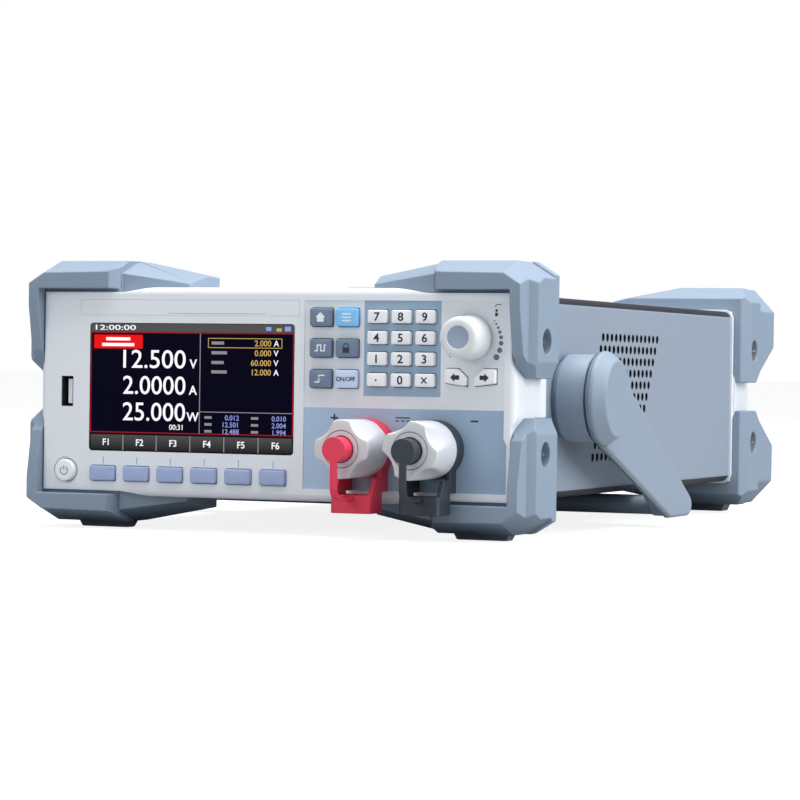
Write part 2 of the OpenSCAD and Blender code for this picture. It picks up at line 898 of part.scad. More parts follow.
// Keeps what lies inside the facets that cut the outer corner, and the shallow groove behind them
module corner_facets(rim_x, rim_z, side, top) {
    rim_mid = [rim_x - rim_corner_x / 2, rim_z - rim_corner_z / 2];
    edge_mid = [side - corner_top / 2, top - corner_side / 2];
    reach = rim_mid[0] * cos(lean_normal) + rim_mid[1] * sin(lean_normal);
    full = edge_mid[0] * cos(lean_normal) + edge_mid[1] * sin(lean_normal);
    rotate([0, -lean_normal, 0]) from_top(-2 * case_w, 2 * case_w)
        polygon([[-2 * case_w, bumper_back + over], [-2 * case_w, -bumper_nose - over],
                 [reach, -bumper_nose - over], [reach, -bumper_nose],
                 [reach + rim_lean, shoulder_front - bumper_nose],
                 [full - corner_groove, corner_crest], [full - corner_groove, groove_back],
                 [full + over, groove_back], [full + over, bumper_back + over]]);
}

module front_foot() {
    hull() {
        translate([foot_x0, bumper_back - over - foot_len, half_h + bumper_top - over])
            cube([foot_x1 - foot_x0, foot_len, over]);
        translate([foot_x0 + foot_taper, bumper_back - over - foot_len + foot_taper, foot_base - over])
            cube([foot_x1 - foot_x0 - 2 * foot_taper, foot_len - 2 * foot_taper, over]);
    }
}

module upper_front_bumpers() {
    place() color(body_blue) both_sides() front_bumper();
}

module lower_front_bumpers() {
    place() color(body_blue) both_sides() mirror([0, 0, 1]) {
        front_bumper();
        front_foot();
    }
}

// Upper right rear bumper, which runs on behind the rear panel as a guard
module rear_bumper() {
    side = half_w + rear_side;
    top = half_h + rear_top;
    y0 = rear_start;
    difference() {
        intersection() {
            from_front(y0, tail_face)
                polygon([[0, 0], [side, 0], [side, top - rear_corner], [side - rear_corner, top],
                         [rear_crest_x, top], [rear_tip, half_h + rear_tip_h], [rear_tip, 0]]);
            from_top(0, top + over)
                polygon([[rear_tip, y0 + rear_arm_l], [rear_tip, y0], [half_w + rear_lip_side, y0],
                         [side, y0 + rear_shoulder], [side, tail_face], [rear_crest_x, tail_face],
                         [rear_tip + rear_arm_rise, y0 + rear_arm_knee]]);
            from_side(0, side + over)
                polygon([[y0, rear_arm_end], [y0 + rear_arm_l, rear_arm_end],
                         [y0 + rear_arm_knee, rear_arm_end + rear_knee_rise],
                         [tail_face, rear_arm_end + rear_arm_rise], [tail_face, top], [y0 + rear_crest, top],
                         [y0, half_h + rear_lip_top]]);
        }
        from_front(y0 - over, rear_face) moulding_outline();
        from_front(rear_face, tail_face + over)
            square([case_w - 2 * wall_t, case_h - 2 * wall_t], center = true);
        from_front(y0 + rear_step_y, tail_face + over)
            polygon([[side - rear_corner - rear_step, top + over], [side + over, top + over],
                     [side + over, top - rear_corner - rear_step - over]]);
        translate([0, y0 + rear_screw_y, screw_z]) rotate([0, 90, 0]) {
            cylinder(h = side, d = screw_shank_d + 2 * screw_clear);
            translate([0, 0, half_w + screw_floor]) cylinder(h = rear_side, d = screw_bore_d);
        }
    }
}

module rear_foot() {
    base = half_h + rear_top;
    w = rear_foot_x1 - rear_foot_x0;
    y = tail_face - over - rear_foot_len;
    hull() {
        translate([rear_foot_x0, y, base - over]) cube([w, rear_foot_len, over]);
        translate([rear_foot_x0 + foot_taper, y + foot_taper, foot_base - over])
            cube([w - 2 * foot_taper, rear_foot_len - 2 * foot_taper, over]);
    }
}

module rear_bumpers() {
    place() color(body_blue) both_sides() {
        rear_bumper();
        mirror([0, 0, 1]) {
            rear_bumper();
            rear_foot();
        }
    }
}

module bumper_screw() {
    rotate([0, 90, 0]) {
        translate([0, 0, half_w + screw_floor]) cylinder(h = screw_head_t, d = screw_head_d);
        translate([0, 0, half_w + screw_floor - screw_len]) cylinder(h = screw_len, d = screw_shank_d);
    }
}

module bumper_screws() {
    place() color(steel) both_sides()
        for (z = [-1, 1], y = [screw_y, rear_start + rear_screw_y])
            translate([0, y, z * screw_z]) bumper_screw();
}

module vent_holes() {
    for (k = [0 : vent_rows - 1], j = [0 : vent_cols - 1])
        let (y = vent_y + vent_pitch * (j - k / 2))
            if (y > vent_front)
                translate([0, y, vent_z - k * vent_row]) rotate([0, 90, 0])
                    cylinder(h = case_w + 2 * over, d = vent_d, center = true);
}

module case_cover() {
    place() color([0.65, 0.71, 0.81]) difference() {
        from_front(panel_d, sleeve_end) difference() {
            round_rect(case_w, case_h, case_r);
            round_rect(case_w - 2 * sheet_t, case_h - 2 * sheet_t, case_r - sheet_t);
        }
        vent_holes();
    }
}

// Floor tray with posts that carry the main board
module chassis() {
    floor_z = -half_h + sheet_t;
    w = case_w - 2 * sheet_t - 2 * chassis_gap;
    post_y = panel_d + post_inset + post_d;
    post_span = main_l - 2 * post_inset;
    place() color(steel) {
        translate([-w / 2, panel_d + chassis_gap, floor_z]) cube([w, case_l - 2 * chassis_gap, chassis_t]);
        for (x = [-1, 1], y = [0, 1])
            translate([x * (w / 2 - post_inset), post_y + y * post_span, floor_z + chassis_t])
                cylinder(h = post_h, d = post_d);
    }
}
board_z = -half_h + sheet_t + chassis_t + post_h;

module main_board() {
    w = case_w - 2 * sheet_t - 2 * chassis_gap;
    place() color([0.1, 0.35, 0.2])
        translate([-w / 2, panel_d + post_d, board_z]) cube([w, main_l, main_t]);
}

module heat_sink() {
    step = (sink_w - fin_t) / (fin_count - 1);
    place() color(steel) translate([-sink_w / 2, panel_d + main_l - sink_l, board_z + main_t]) {
        cube([sink_w, sink_l, sink_base]);
        for (k = [0 : fin_count - 1])
            translate([k * step, 0, sink_base]) cube([fin_t, sink_l, sink_h - sink_base]);
    }
}

// Rear moulding with the fan's guard and the inlet's cut-out
module rear_panel() {
    rim_w = case_w + 2 * rear_rim_proud;
    rim_h = case_h + 2 * rear_rim_proud;
    place() color(shell_white) {
        difference() {
            union() {
                translate([0, rear_face, 0]) mirror([0, 1, 0]) moulding_block(rear_d - rear_rim, face_r);
                from_front(sleeve_end, sleeve_end + rear_rim)
                    round_rect(rim_w, rim_h, case_r + rear_rim_proud);
            }
            translate([0, rear_face, 0]) mirror([0, 1, 0]) moulding_hollow(rear_d);
            from_front(rear_face - wall_t - over, rear_face + over) {
                translate([fan_x, 0]) circle(d = fan_bore);
                translate([inlet_x, inlet_z]) square([inlet_w, inlet_h], center = true);
            }
            screw_holes(rear_start + rear_screw_y, screw_shank_d + 2 * screw_clear);
        }
        from_front(rear_face - wall_t, rear_face) translate([fan_x, 0]) fan_guard();
    }
}

// Concentric rings on a cross of spokes
module fan_guard() {
    step = fan_bore / 2 / (guard_rings + 0.5);
    for (k = [1 : guard_rings])
        difference() {
            circle(r = k * step + guard_ring / 2);
            circle(r = k * step - guard_ring / 2);
        }
    for (a = [45, 135])
        rotate(a) square([fan_bore + 2 * guard_ring, guard_ring], center = true);
}

fan_back = rear_face - wall_t;
fan_front = fan_back - fan_d;

module fan_frame() {
    place() translate([fan_x, 0, 0]) color(dark) {
        from_front(fan_front, fan_back) difference() {
            round_rect(fan_w, fan_w, corner_r);
            circle(d = fan_bore);
        }
        from_front(fan_back - fan_spoke, fan_back) {
            circle(d = fan_hub);
            for (a = [0, 90])
                rotate(a) square([fan_bore + fan_wall, fan_spoke], center = true);
        }
        from_front(fan_front + fan_spoke, fan_back - fan_spoke) circle(d = fan_pin_d);
    }
}

module fan_rotor() {
    y0 = fan_front + fan_spoke / 2;
    y1 = fan_back - fan_spoke - gap;
    place() translate([fan_x, 0, 0]) color(dark) difference() {
        union() {
            from_front(y0, y1) circle(d = fan_hub);
            intersection() {
                from_front(y0, y1) circle(d = fan_bore - 2 * rotor_gap);
                for (k = [0 : fan_blades - 1])
                    rotate([0, k * 360 / fan_blades, 0]) translate([0, (y0 + y1) / 2, 0])
                        rotate([0, 0, blade_pitch]) translate([-blade_t / 2, -fan_d, fan_hub / 2 - over])
                            cube([blade_t, 2 * fan_d, fan_bore]);
            }
        }
        from_front(y0 + blade_t, y1 + over) circle(d = fan_pin_d + 2 * fit);
    }
}

// Three-pole appliance inlet, open to the rear
module mains_inlet() {
    place() translate([inlet_x, 0, inlet_z]) color(dark) {
        difference() {
            union() {
                from_front(rear_face, rear_face + inlet_lip)
                    round_rect(inlet_w + 2 * inlet_lip, inlet_h + 2 * inlet_lip, corner_r);
                from_front(rear_face - inlet_depth, rear_face) square([inlet_w, inlet_h], center = true);
            }
            from_front(rear_face - inlet_depth + inlet_wall, rear_face + inlet_lip + over)
                square([inlet_w - 2 * inlet_wall, inlet_h - 2 * inlet_wall], center = true);
        }
        from_front(rear_face - inlet_depth, rear_face - inlet_pin_in)
            for (p = [-1, 0, 1])
                translate([p * inlet_pin_gap, inlet_pin_rise * (1 - 2 * abs(p))])
                    square([inlet_pin_t, inlet_pin_w], center = true);
    }
}

// Discs of an arm's blade: round the pivot, and at both ends of its foot
module arm_discs(x, thick, inset) {
    translate([x, pivot_y, 0]) rotate([0, 90, 0]) cylinder(h = thick, r = blade_r - inset, $fn = 48);
    foot_discs(x, thick, inset);
}

module foot_discs(x, thick, inset) {
    for (y = [grip_y, grip_y - tip_w])
        translate([x, pivot_y + y, -grip_drop]) rotate([0, 90, 0])
            cylinder(h = thick, r = tip_r - inset, $fn = 24);
}

// Turned head on the hub's pin
module handle_head() {
    bore_r = pin_d / 2 + fit;
    translate([0, pivot_y, 0]) rotate([0, 90, 0]) rotate_extrude()
        polygon([[bore_r, head_x], [hub_r, head_x], [head_r, head_x + head_flare], [head_r, blade_x1],
                 [head_face_r, head_end], [0, head_end], [0, pin_end + gap], [bore_r, pin_end + gap]]);
}

// Thin blade with a chamfered outer edge, and a rib that thickens it towards the grip
module handle_arm() {
    handle_head();
    difference() {
        union() {
            hull() {
                arm_discs(blade_x0, arm_t - blade_edge, 0);
                arm_discs(blade_x0, arm_t, blade_edge);
            }
            hull() {
                foot_discs(arm_x, blade_x1 - blade_edge - arm_x, rib_inset);
                translate([blade_x0 - gap, pivot_y + rib_y, rib_z]) rotate([0, 90, 0])
                    cylinder(h = arm_t - blade_edge, r = rib_r, $fn = 24);
            }
        }
        translate([head_x, pivot_y, 0]) rotate([0, 90, 0])
            cylinder(h = pin_end + gap - head_x, r = head_face_r);
    }
}

module handle() {
    place() color(body_blue) {
        both_sides() handle_arm();
        from_side(-arm_x - over, arm_x + over) translate([pivot_y + grip_y, -grip_drop]) {
            for (y = [0, grip_w])
                translate([-y, 0]) circle(grip_r);
            translate([-grip_w, -grip_r]) square([grip_w, 2 * grip_r]);
        }
    }
}

// Fixed hub with a narrower neck at the case, and the pin that carries the handle
module handle_hubs() {
    place() color(body_blue) both_sides() translate([0, pivot_y, 0]) rotate([0, 90, 0]) rotate_extrude()
        polygon([[0, half_w], [hub_r - hub_neck_in, half_w], [hub_r - hub_neck_in, half_w + hub_neck],
                 [hub_r, half_w + hub_neck], [hub_r, half_w + hub_t], [pin_d / 2, half_w + hub_t],
                 [pin_d / 2, pin_end], [0, pin_end]]);
}

front_panel();
control_overlay();
display_window();
display_module();
key_board();
usb_socket();
softkey(0);  // softkey_1
softkey(1);  // softkey_2
softkey(2);  // softkey_3
softkey(3);  // softkey_4
softkey(4);  // softkey_5
softkey(5);  // softkey_6
function_key(0, slate);  // key_home
function_key(1, [0.43, 0.68, 0.86]);  // key_menu
function_key(2, slate);  // key_mode
function_key(3, slate);  // key_lock
function_key(4, slate);  // key_trigger
function_key(5, [0.69, 0.75, 0.84]);  // key_on_off
number_key(0, 0);  // key_7
number_key(1, 0);  // key_8
number_key(2, 0);  // key_9
number_key(0, 1);  // key_4
number_key(1, 1);  // key_5
number_key(2, 1);  // key_6
number_key(0, 2);  // key_1
number_key(1, 2);  // key_2
number_key(2, 2);  // key_3
number_key(0, 3);  // key_point
number_key(1, 3);  // key_0
number_key(2, 3);  // key_esc
arrow_key(-1);  // key_left
arrow_key(1);  // key_right
power_button();
knob();
knob_cap();
encoder_shaft();
encoder_rotor();
terminal_shroud(-1, red);  // terminal_shroud_pos
terminal_shroud(1, dark);  // terminal_shroud_neg
terminal_studs();
terminal_washer(-1);  // terminal_washer_pos
terminal_washer(1);  // terminal_washer_neg
terminal_nut(-1, nut_turn_pos);  // terminal_nut_pos
terminal_nut(1, nut_turn_neg);  // terminal_nut_neg
terminal_cap(-1, red);  // terminal_cap_pos
terminal_cap(1, dark);  // terminal_cap_neg
upper_front_bumpers();
lower_front_bumpers();
rear_bumpers();
bumper_screws();
case_cover();
chassis();
rear_panel();
handle();
handle_hubs();
fan_frame();
fan_rotor();
heat_sink();
main_board();
mains_inlet();
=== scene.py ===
import math

import bmesh
import bpy
import numpy as np
from mathutils import Matrix, Vector


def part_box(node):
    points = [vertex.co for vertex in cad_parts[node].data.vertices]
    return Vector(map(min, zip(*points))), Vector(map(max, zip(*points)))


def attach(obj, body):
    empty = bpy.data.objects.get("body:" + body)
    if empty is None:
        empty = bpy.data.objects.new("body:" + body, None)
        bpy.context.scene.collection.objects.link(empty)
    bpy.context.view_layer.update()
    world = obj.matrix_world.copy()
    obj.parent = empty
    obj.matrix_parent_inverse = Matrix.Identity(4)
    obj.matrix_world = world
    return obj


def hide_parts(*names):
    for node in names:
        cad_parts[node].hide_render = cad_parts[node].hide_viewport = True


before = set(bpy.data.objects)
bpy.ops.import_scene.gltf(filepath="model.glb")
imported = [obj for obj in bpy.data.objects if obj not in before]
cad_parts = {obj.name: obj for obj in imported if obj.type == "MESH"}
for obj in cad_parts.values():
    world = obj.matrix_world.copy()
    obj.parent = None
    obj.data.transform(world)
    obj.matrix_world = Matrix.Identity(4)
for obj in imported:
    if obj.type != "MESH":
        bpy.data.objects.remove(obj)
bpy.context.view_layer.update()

MM = 0.001
PANEL_LOW, PANEL_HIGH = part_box("front_panel")
FACE_Y = PANEL_LOW.y
MID_Z = (PANEL_LOW.z + PANEL_HIGH.z) / 2
SMOOTH_ANGLE = math.radians(35)
ROUND_ANGLE = math.radians(24)
FLAT_ANGLE = math.radians(0.5)


# Shapes

def surface(name, grid, closed=True, ring=False, poles=(False, False)):
    """Mesh of a grid of points, with quads between neighbours in both directions.

    A closed grid joins its last column to its first, a ring joins its last row to its first,
    and a pole closes the first or the last row by a fan on that row's mean point."""
    rows, cols = grid.shape[:2]
    index = np.arange(rows * cols).reshape(rows, cols)
    if closed:
        index = np.hstack([index, index[:, :1]])
    if ring:
        index = np.vstack([index, index[:1]])
    quads = np.stack([index[:-1, :-1], index[:-1, 1:], index[1:, 1:], index[1:, :-1]], axis=-1)
    faces = quads.reshape(-1, 4).tolist()
    points = grid.reshape(-1, 3)
    for row, wanted in zip((0, -1), poles):
        if wanted:
            hub = np.full(index.shape[1] - 1, len(points))
            fan = np.stack([index[row, :-1], index[row, 1:], hub], axis=-1)
            faces += fan.tolist()
            points = np.vstack([points, grid[row].mean(axis=0)])
    return mesh_piece(name, points, faces)


def mesh_piece(name, points, faces):
    """Object at the origin from points and faces, normals outwards, smooth where faces nearly line up."""
    mesh = bpy.data.meshes.new(name)
    mesh.from_pydata(np.asarray(points, float).tolist(), [], faces)
    outward(mesh)
    mesh.shade_smooth()
    mesh.set_sharp_from_angle(angle=SMOOTH_ANGLE)
    return placed(name, mesh)


def placed(name, data):
    """Object of a mesh, a lamp or a camera, linked to the scene."""
    obj = bpy.data.objects.new(name, data)
    bpy.context.scene.collection.objects.link(obj)
    return obj


def coat(obj, material):
    """Gives an object its one material."""
    obj.data.materials.clear()
    obj.data.materials.append(material)


def baked(obj):
    """New mesh of an object as its modifiers leave it."""
    bpy.context.view_layer.update()
    return bpy.data.meshes.new_from_object(obj.evaluated_get(bpy.context.evaluated_depsgraph_get()))


def middle_of(node):
    """X and Z of the middle of a node's box."""
    low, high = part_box(node)
    return np.array(((low.x + high.x) / 2, (low.z + high.z) / 2))


def points_of(mesh):
    """Points of a mesh as rows of an array."""
    co = np.empty(len(mesh.vertices) * 3, np.float32)
    mesh.vertices.foreach_get("co", co)
    return co.reshape(-1, 3)


def outward(mesh):
    """Turns every face of a closed mesh outwards."""
    bm = bmesh.new()
    bm.from_mesh(mesh)
    bmesh.ops.recalc_face_normals(bm, faces=bm.faces)
    bm.to_mesh(mesh)
    bm.free()


def join(name, parts):
    """One object of several mesh objects, which are then removed."""
    bm = bmesh.new()
    for part in parts:
        bm.from_mesh(part.data)
    mesh = bpy.data.meshes.new(name)
    bm.to_mesh(mesh)
    bm.free()
    for part in parts:
        bpy.data.objects.remove(part)
    mesh.set_sharp_from_angle(angle=SMOOTH_ANGLE)
    return placed(name, mesh)


def finished(obj, body, material, slot=None, *nodes):
    """Rides the piece on its body with its material, in place of the CAD nodes named. The slot is not used.
    """
    coat(obj, material)
    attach(obj, body)
    if nodes:
        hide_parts(*nodes)
    return obj


def softened(node, width):
    """Copy of a rigid node with its triangles merged and its edges rounded to the given width."""
    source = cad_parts[node].data
    corners = np.empty(len(source.loops), np.int32)
    source.loops.foreach_get("vertex_index", corners)
    points, inverse = np.unique(np.round(points_of(source), 6), axis=0, return_inverse=True)
    faces = inverse.reshape(-1)[corners].reshape(-1, 3)
    whole = (faces != np.roll(faces, 1, axis=1)).all(axis=1)
    return round_edges(mesh_piece(node + "_soft", points, faces[whole].tolist()), width)


def round_edges(obj, width):
    """Merges triangles into flat faces and rounds each edge that turns more than the round angle."""
    bm = bmesh.new()
    bm.from_mesh(obj.data)
    bmesh.ops.dissolve_limit(bm, angle_limit=FLAT_ANGLE, verts=bm.verts, edges=bm.edges)
    bm.to_mesh(obj.data)
    bm.free()
    bevel = obj.modifiers.new("round_edges", "BEVEL")
    bevel.width = width
    bevel.segments = 3
    bevel.limit_method = "ANGLE"
    bevel.angle_limit = ROUND_ANGLE
    bevel.use_clamp_overlap = False
    bevel.harden_normals = True
    bevel.miter_outer = "MITER_ARC"
    return obj


def rounded_outline(corners, radius, steps=7):
    """Convex outline with round corners: arc centres and unit directions, a row for each point.

    A corner's centre is where its two edges meet after both move in by the radius, and its arc runs
    from one edge's outward normal to the next one's."""
    p = np.asarray(corners, float)
    along = np.roll(p, -1, axis=0) - p
    along /= np.linalg.norm(along, axis=1, keepdims=True)
    normal = np.stack([along[:, 1], -along[:, 0]], axis=1)
    before = np.roll(normal, 1, axis=0)
    centre = p - (before + normal) * radius / (1 + (before * normal).sum(axis=1, keepdims=True))
    first = np.arctan2(before[:, 1], before[:, 0])
    turn = np.arctan2(normal[:, 1], normal[:, 0]) - first
    turn = (turn + 2 * np.pi) % (2 * np.pi)
    angle = first[:, None] + turn[:, None] * np.linspace(0, 1, steps)[None]
    direction = np.stack([np.cos(angle), np.sin(angle)], axis=-1)
    return np.repeat(centre, steps, axis=0), direction.reshape(-1, 2)


def button(name, corners, radius, front, back, edge, crown):
    """Moulded button: the outline runs up from back to the front's edge, follows a quarter round of
    the edge radius inwards, and closes on a face that bulges by the crown towards its middle."""
    centre, out = rounded_outline(corners, radius)
    middle = np.asarray(corners, float).mean(axis=0)
    turn = np.linspace(0, np.pi / 2, 6)
    inset = np.concatenate([[0], edge * (1 - np.cos(turn))])
    depth = np.concatenate([[back], front + edge * (1 - np.sin(turn))])
    rows = centre[None] + (radius - inset)[:, None, None] * out[None]
    share = np.linspace(1, 0, 6)[1:-1]
    inner = middle + share[:, None, None] * (rows[-1] - middle)[None]
    rows = np.concatenate([rows, inner])
    depth = np.concatenate([depth, front - crown * (1 - share ** 2)])
    depth = np.repeat(depth[:, None], rows.shape[1], axis=1)
    grid = np.stack([rows[..., 0], depth, rows[..., 1]], axis=-1)
    return surface(name, grid, poles=(True, True))


def turned(name, profile, centre, count):
    """Surface of revolution about an axis along Y: each profile point is a radius and a depth."""
    profile = np.asarray(profile, float)
    angle = np.linspace(0, 2 * np.pi, count, endpoint=False)
    x = centre[0] + profile[:, :1] * np.cos(angle)[None]
    z = centre[1] + profile[:, :1] * np.sin(angle)[None]
    y = np.repeat(profile[:, 1:], count, axis=1)
    return surface(name, np.stack([x, y, z], axis=-1), poles=(True, True))


# Flat signs and lines

PRINT_T = 0.04 * MM


def prism_faces(count, base=0):
    """Two ends, and the sides between their rings of count points each, numbered from base."""
    first = base + np.arange(count)
    after = np.roll(first, -1)
    sides = np.stack([first, first + count, after + count, after], axis=1)
    return [first.tolist(), (first + count)[::-1].tolist()] + sides.tolist()


def plates(name, loops, front, thickness=PRINT_T):
    """Thin closed plates: each loop of X, Z points is carried back from front by the thickness."""
    points, faces = [], []
    for loop in loops:
        faces += prism_faces(len(loop), len(points))
        for y in (front, front + thickness):
            points += [(x, y, z) for x, z in loop]
    return mesh_piece(name, points, faces)


def bar(x0, z0, x1, z1):
    """Rectangle between two corners."""
    return np.array([(x0, z0), (x1, z0), (x1, z1), (x0, z1)])


def dot(x, z, radius, count=24):
    """Circle of points."""
    angle = np.linspace(0, 2 * np.pi, count, endpoint=False)
    return np.stack([x + radius * np.cos(angle), z + radius * np.sin(angle)], axis=1)


def stroke(points, width):
    """Line of even width: its points move to both sides along the mean of their neighbours' normals,
    lengthened at a corner so that the width stays the same."""
    p = np.asarray(points, float)
    along = np.diff(p, axis=0)
    along /= np.linalg.norm(along, axis=1, keepdims=True)
    normal = np.stack([-along[:, 1], along[:, 0]], axis=1)
    first, last = np.vstack([normal[:1], normal]), np.vstack([normal, normal[-1:]])
    mitre = (first + last) / (1 + (first * last).sum(axis=1, keepdims=True))
    return np.vstack([p + mitre * width / 2, (p - mitre * width / 2)[::-1]])


def arc(x, z, radius, start, end, count):
    """Points of an arc, angles in degrees."""
    angle = np.radians(np.linspace(start, end, count))
    return np.stack([x + radius * np.cos(angle), z + radius * np.sin(angle)], axis=1)


def frame_strokes(x0, z0, x1, z1, width):
    """Four bars round a rectangle."""
    return [bar(x0, z0, x1, z0 + width), bar(x0, z1 - width, x1, z1),
            bar(x0, z0 + width, x0 + width, z1 - width), bar(x1 - width, z0 + width, x1, z1 - width)]


DIGIT_CAP = 0.69


def lettering(name, text, height, x, z, front, align="CENTER", squeeze=1.0, bold=0.0, width=None):
    """Figures of the given height with their middle line at z, standing thin in front of a face.

    Squeeze narrows or widens them, unless the whole width is given."""
    curve = bpy.data.curves.new(name, "FONT")
    curve.body = text
    curve.align_x = align
    curve.resolution_u = 4
    curve.offset = bold
    shaped = placed(name + "_curve", curve)
    flat = baked(shaped)
    bpy.data.objects.remove(shaped)
    co = points_of(flat)
    scale = height / DIGIT_CAP
    if width:
        squeeze = width / (np.ptp(co[:, 0]) * scale)
    across_x = x + co[:, 0] * scale * squeeze
    up_z = z + (co[:, 1] - DIGIT_CAP / 2) * scale
    place = np.stack([across_x, np.full(len(co), front), up_z], axis=1)
    flat.vertices.foreach_set("co", place.astype(np.float32).ravel())
    bm = bmesh.new()
    bm.from_mesh(flat)
    bmesh.ops.remove_doubles(bm, verts=bm.verts, dist=height * 0.001)
    skin = bmesh.ops.extrude_face_region(bm, geom=bm.faces[:])
    moved = [v for v in skin["geom"] if isinstance(v, bmesh.types.BMVert)]
    bmesh.ops.translate(bm, verts=moved, vec=(0, PRINT_T, 0))
    bmesh.ops.recalc_face_normals(bm, faces=bm.faces)
    bm.to_mesh(flat)
    bm.free()
    return placed(name, flat)


# Materials

SKIN_OUTPUTS = ("Shade", "Roughness", "Height")
ZONE_LIMITS = ("Low X", "High X", "Low Z", "High Z")


def node_group(name, inputs, outputs):
    """Empty shader group of numbers: its inputs have a name and a default, its outputs a name."""
    group = bpy.data.node_groups.new(name, "ShaderNodeTree")
    for label, default in inputs:
        socket = group.interface.new_socket(label, in_out="INPUT", socket_type="NodeSocketFloat")
        socket.default_value = default
    for label in outputs:
        group.interface.new_socket(label, in_out="OUTPUT", socket_type="NodeSocketFloat")
    return group, group.nodes.new("NodeGroupInput"), group.nodes.new("NodeGroupOutput")


def add(tree, kind, **settings):
    """New node with its properties set."""
    node = tree.nodes.new(kind)
    for key, value in settings.items():
        setattr(node, key, value)
    return node


def feed(tree, socket, value):
    """Gives a socket a number, a colour of three numbers, or a link from another socket."""
    if isinstance(value, (int, float)):
        socket.default_value = value
    elif isinstance(value, tuple):
        socket.default_value = (*value, 1)
    else:
        tree.links.new(value, socket)


def math_node(tree, operation, first, second):
    """Result of a math node."""
    node = add(tree, "ShaderNodeMath", operation=operation)
    feed(tree, node.inputs[0], first)
    feed(tree, node.inputs[1], second)
    return node.outputs[0]


def mixed(tree, factor, first, second, blend="MIX"):
    """Colour between two others, or another blend of them."""
    mix = add(tree, "ShaderNodeMix", data_type="RGBA", blend_type=blend)
    for label, value in (("Factor", factor), ("A", first), ("B", second)):
        feed(tree, mix.inputs[label], value)
    return mix.outputs["Result"]


def axes(tree):
    """Sockets for the X, Y and Z of a point in its object's coordinates."""
    place = add(tree, "ShaderNodeTexCoord")
    split = add(tree, "ShaderNodeSeparateXYZ")
    tree.links.new(place.outputs["Object"], split.inputs[0])
    return split.outputs


def ramp(tree, axis, start, end, low=0.0, high=1.0):
    """Number that runs from low to high between two places on an axis."""
    node = add(tree, "ShaderNodeMapRange")
    for label, value in (("From Min", start), ("From Max", end), ("To Min", low), ("To Max", high)):
        node.inputs[label].default_value = value
    tree.links.new(axes(tree)[axis], node.inputs["Value"])
    return node.outputs["Result"]


def make_grain():
    """Moulded or sprayed skin: fine bumps of the given size, and a slow drift of tone and gloss."""
    group, inside, outside = node_group(
        "moulded_grain", [("Bumps per metre", 3000.0), ("Drift", 0.05), ("Gloss", 0.5)], SKIN_OUTPUTS)
    place = add(group, "ShaderNodeTexCoord")
    fine = add(group, "ShaderNodeTexNoise")
    fine.inputs["Detail"].default_value = 3
    slow = add(group, "ShaderNodeTexNoise")
    slow.inputs["Scale"].default_value = 35
    slow.inputs["Detail"].default_value = 4
    link = group.links.new
    link(place.outputs["Object"], fine.inputs["Vector"])
    link(place.outputs["Object"], slow.inputs["Vector"])
    link(inside.outputs["Bumps per metre"], fine.inputs["Scale"])
    swing = math_node(group, "SUBTRACT", slow.outputs["Fac"], 0.5)
    drift = math_node(group, "MULTIPLY", swing, inside.outputs["Drift"])
    speck = math_node(group, "SUBTRACT", fine.outputs["Fac"], 0.5)
    tone = math_node(group, "ADD", drift, math_node(group, "MULTIPLY", speck, 0.06))
    link(math_node(group, "ADD", tone, 1.0), outside.inputs["Shade"])
    gloss = math_node(group, "ADD", math_node(group, "MULTIPLY", speck, 0.12), inside.outputs["Gloss"])
    link(math_node(group, "ADD", gloss, drift), outside.inputs["Roughness"])
    link(fine.outputs["Fac"], outside.inputs["Height"])
    return group


def make_brush():
    """Brushed metal: noise stretched along X, as shade and height."""
    group, inside, outside = node_group("brushed_lines", [("Lines per metre", 2500.0)], SKIN_OUTPUTS)
    place = add(group, "ShaderNodeTexCoord")
    stretch = add(group, "ShaderNodeMapping")
    stretch.inputs["Scale"].default_value = (0.03, 1, 1)
    lines = add(group, "ShaderNodeTexNoise")
    lines.inputs["Detail"].default_value = 4
    group.links.new(place.outputs["Object"], stretch.inputs["Vector"])
    group.links.new(stretch.outputs["Vector"], lines.inputs["Vector"])
    group.links.new(inside.outputs["Lines per metre"], lines.inputs["Scale"])
    speck = math_node(group, "SUBTRACT", lines.outputs["Fac"], 0.5)
    for label, swing, middle in (("Shade", 0.35, 1.0), ("Roughness", 0.3, 0.36)):
        value = math_node(group, "ADD", math_node(group, "MULTIPLY", speck, swing), middle)
        group.links.new(value, outside.inputs[label])
    group.links.new(lines.outputs["Fac"], outside.inputs["Height"])
    return group


def make_zone():
    """Mask of a box in X and Z given by its low and high corners, in metres."""
    group, inside, outside = node_group("panel_zone", [(label, 0.0) for label in ZONE_LIMITS], ["Mask"])
    place = axes(group)
    spans = []
    for axis in "XZ":
        above = math_node(group, "GREATER_THAN", place[axis], inside.outputs["Low " + axis])
        below = math_node(group, "LESS_THAN", place[axis], inside.outputs["High " + axis])
        spans.append(math_node(group, "MULTIPLY", above, below))
    group.links.new(math_node(group, "MULTIPLY", *spans), outside.inputs["Mask"])
    return group


GRAIN = make_grain()
BRUSH = make_brush()
ZONE = make_zone()


def blank_material(name):
    """Material with only a Principled shader and its output."""
    material = bpy.data.materials.new(name)
    material.use_nodes = True
    tree = material.node_tree
    return material, tree, tree.nodes["Principled BSDF"]


def tinted(tree, colour, shade):
    """Colour (a socket or three numbers) times a shade that changes over the surface."""
    return mixed(tree, 1.0, colour, shade, "MULTIPLY")


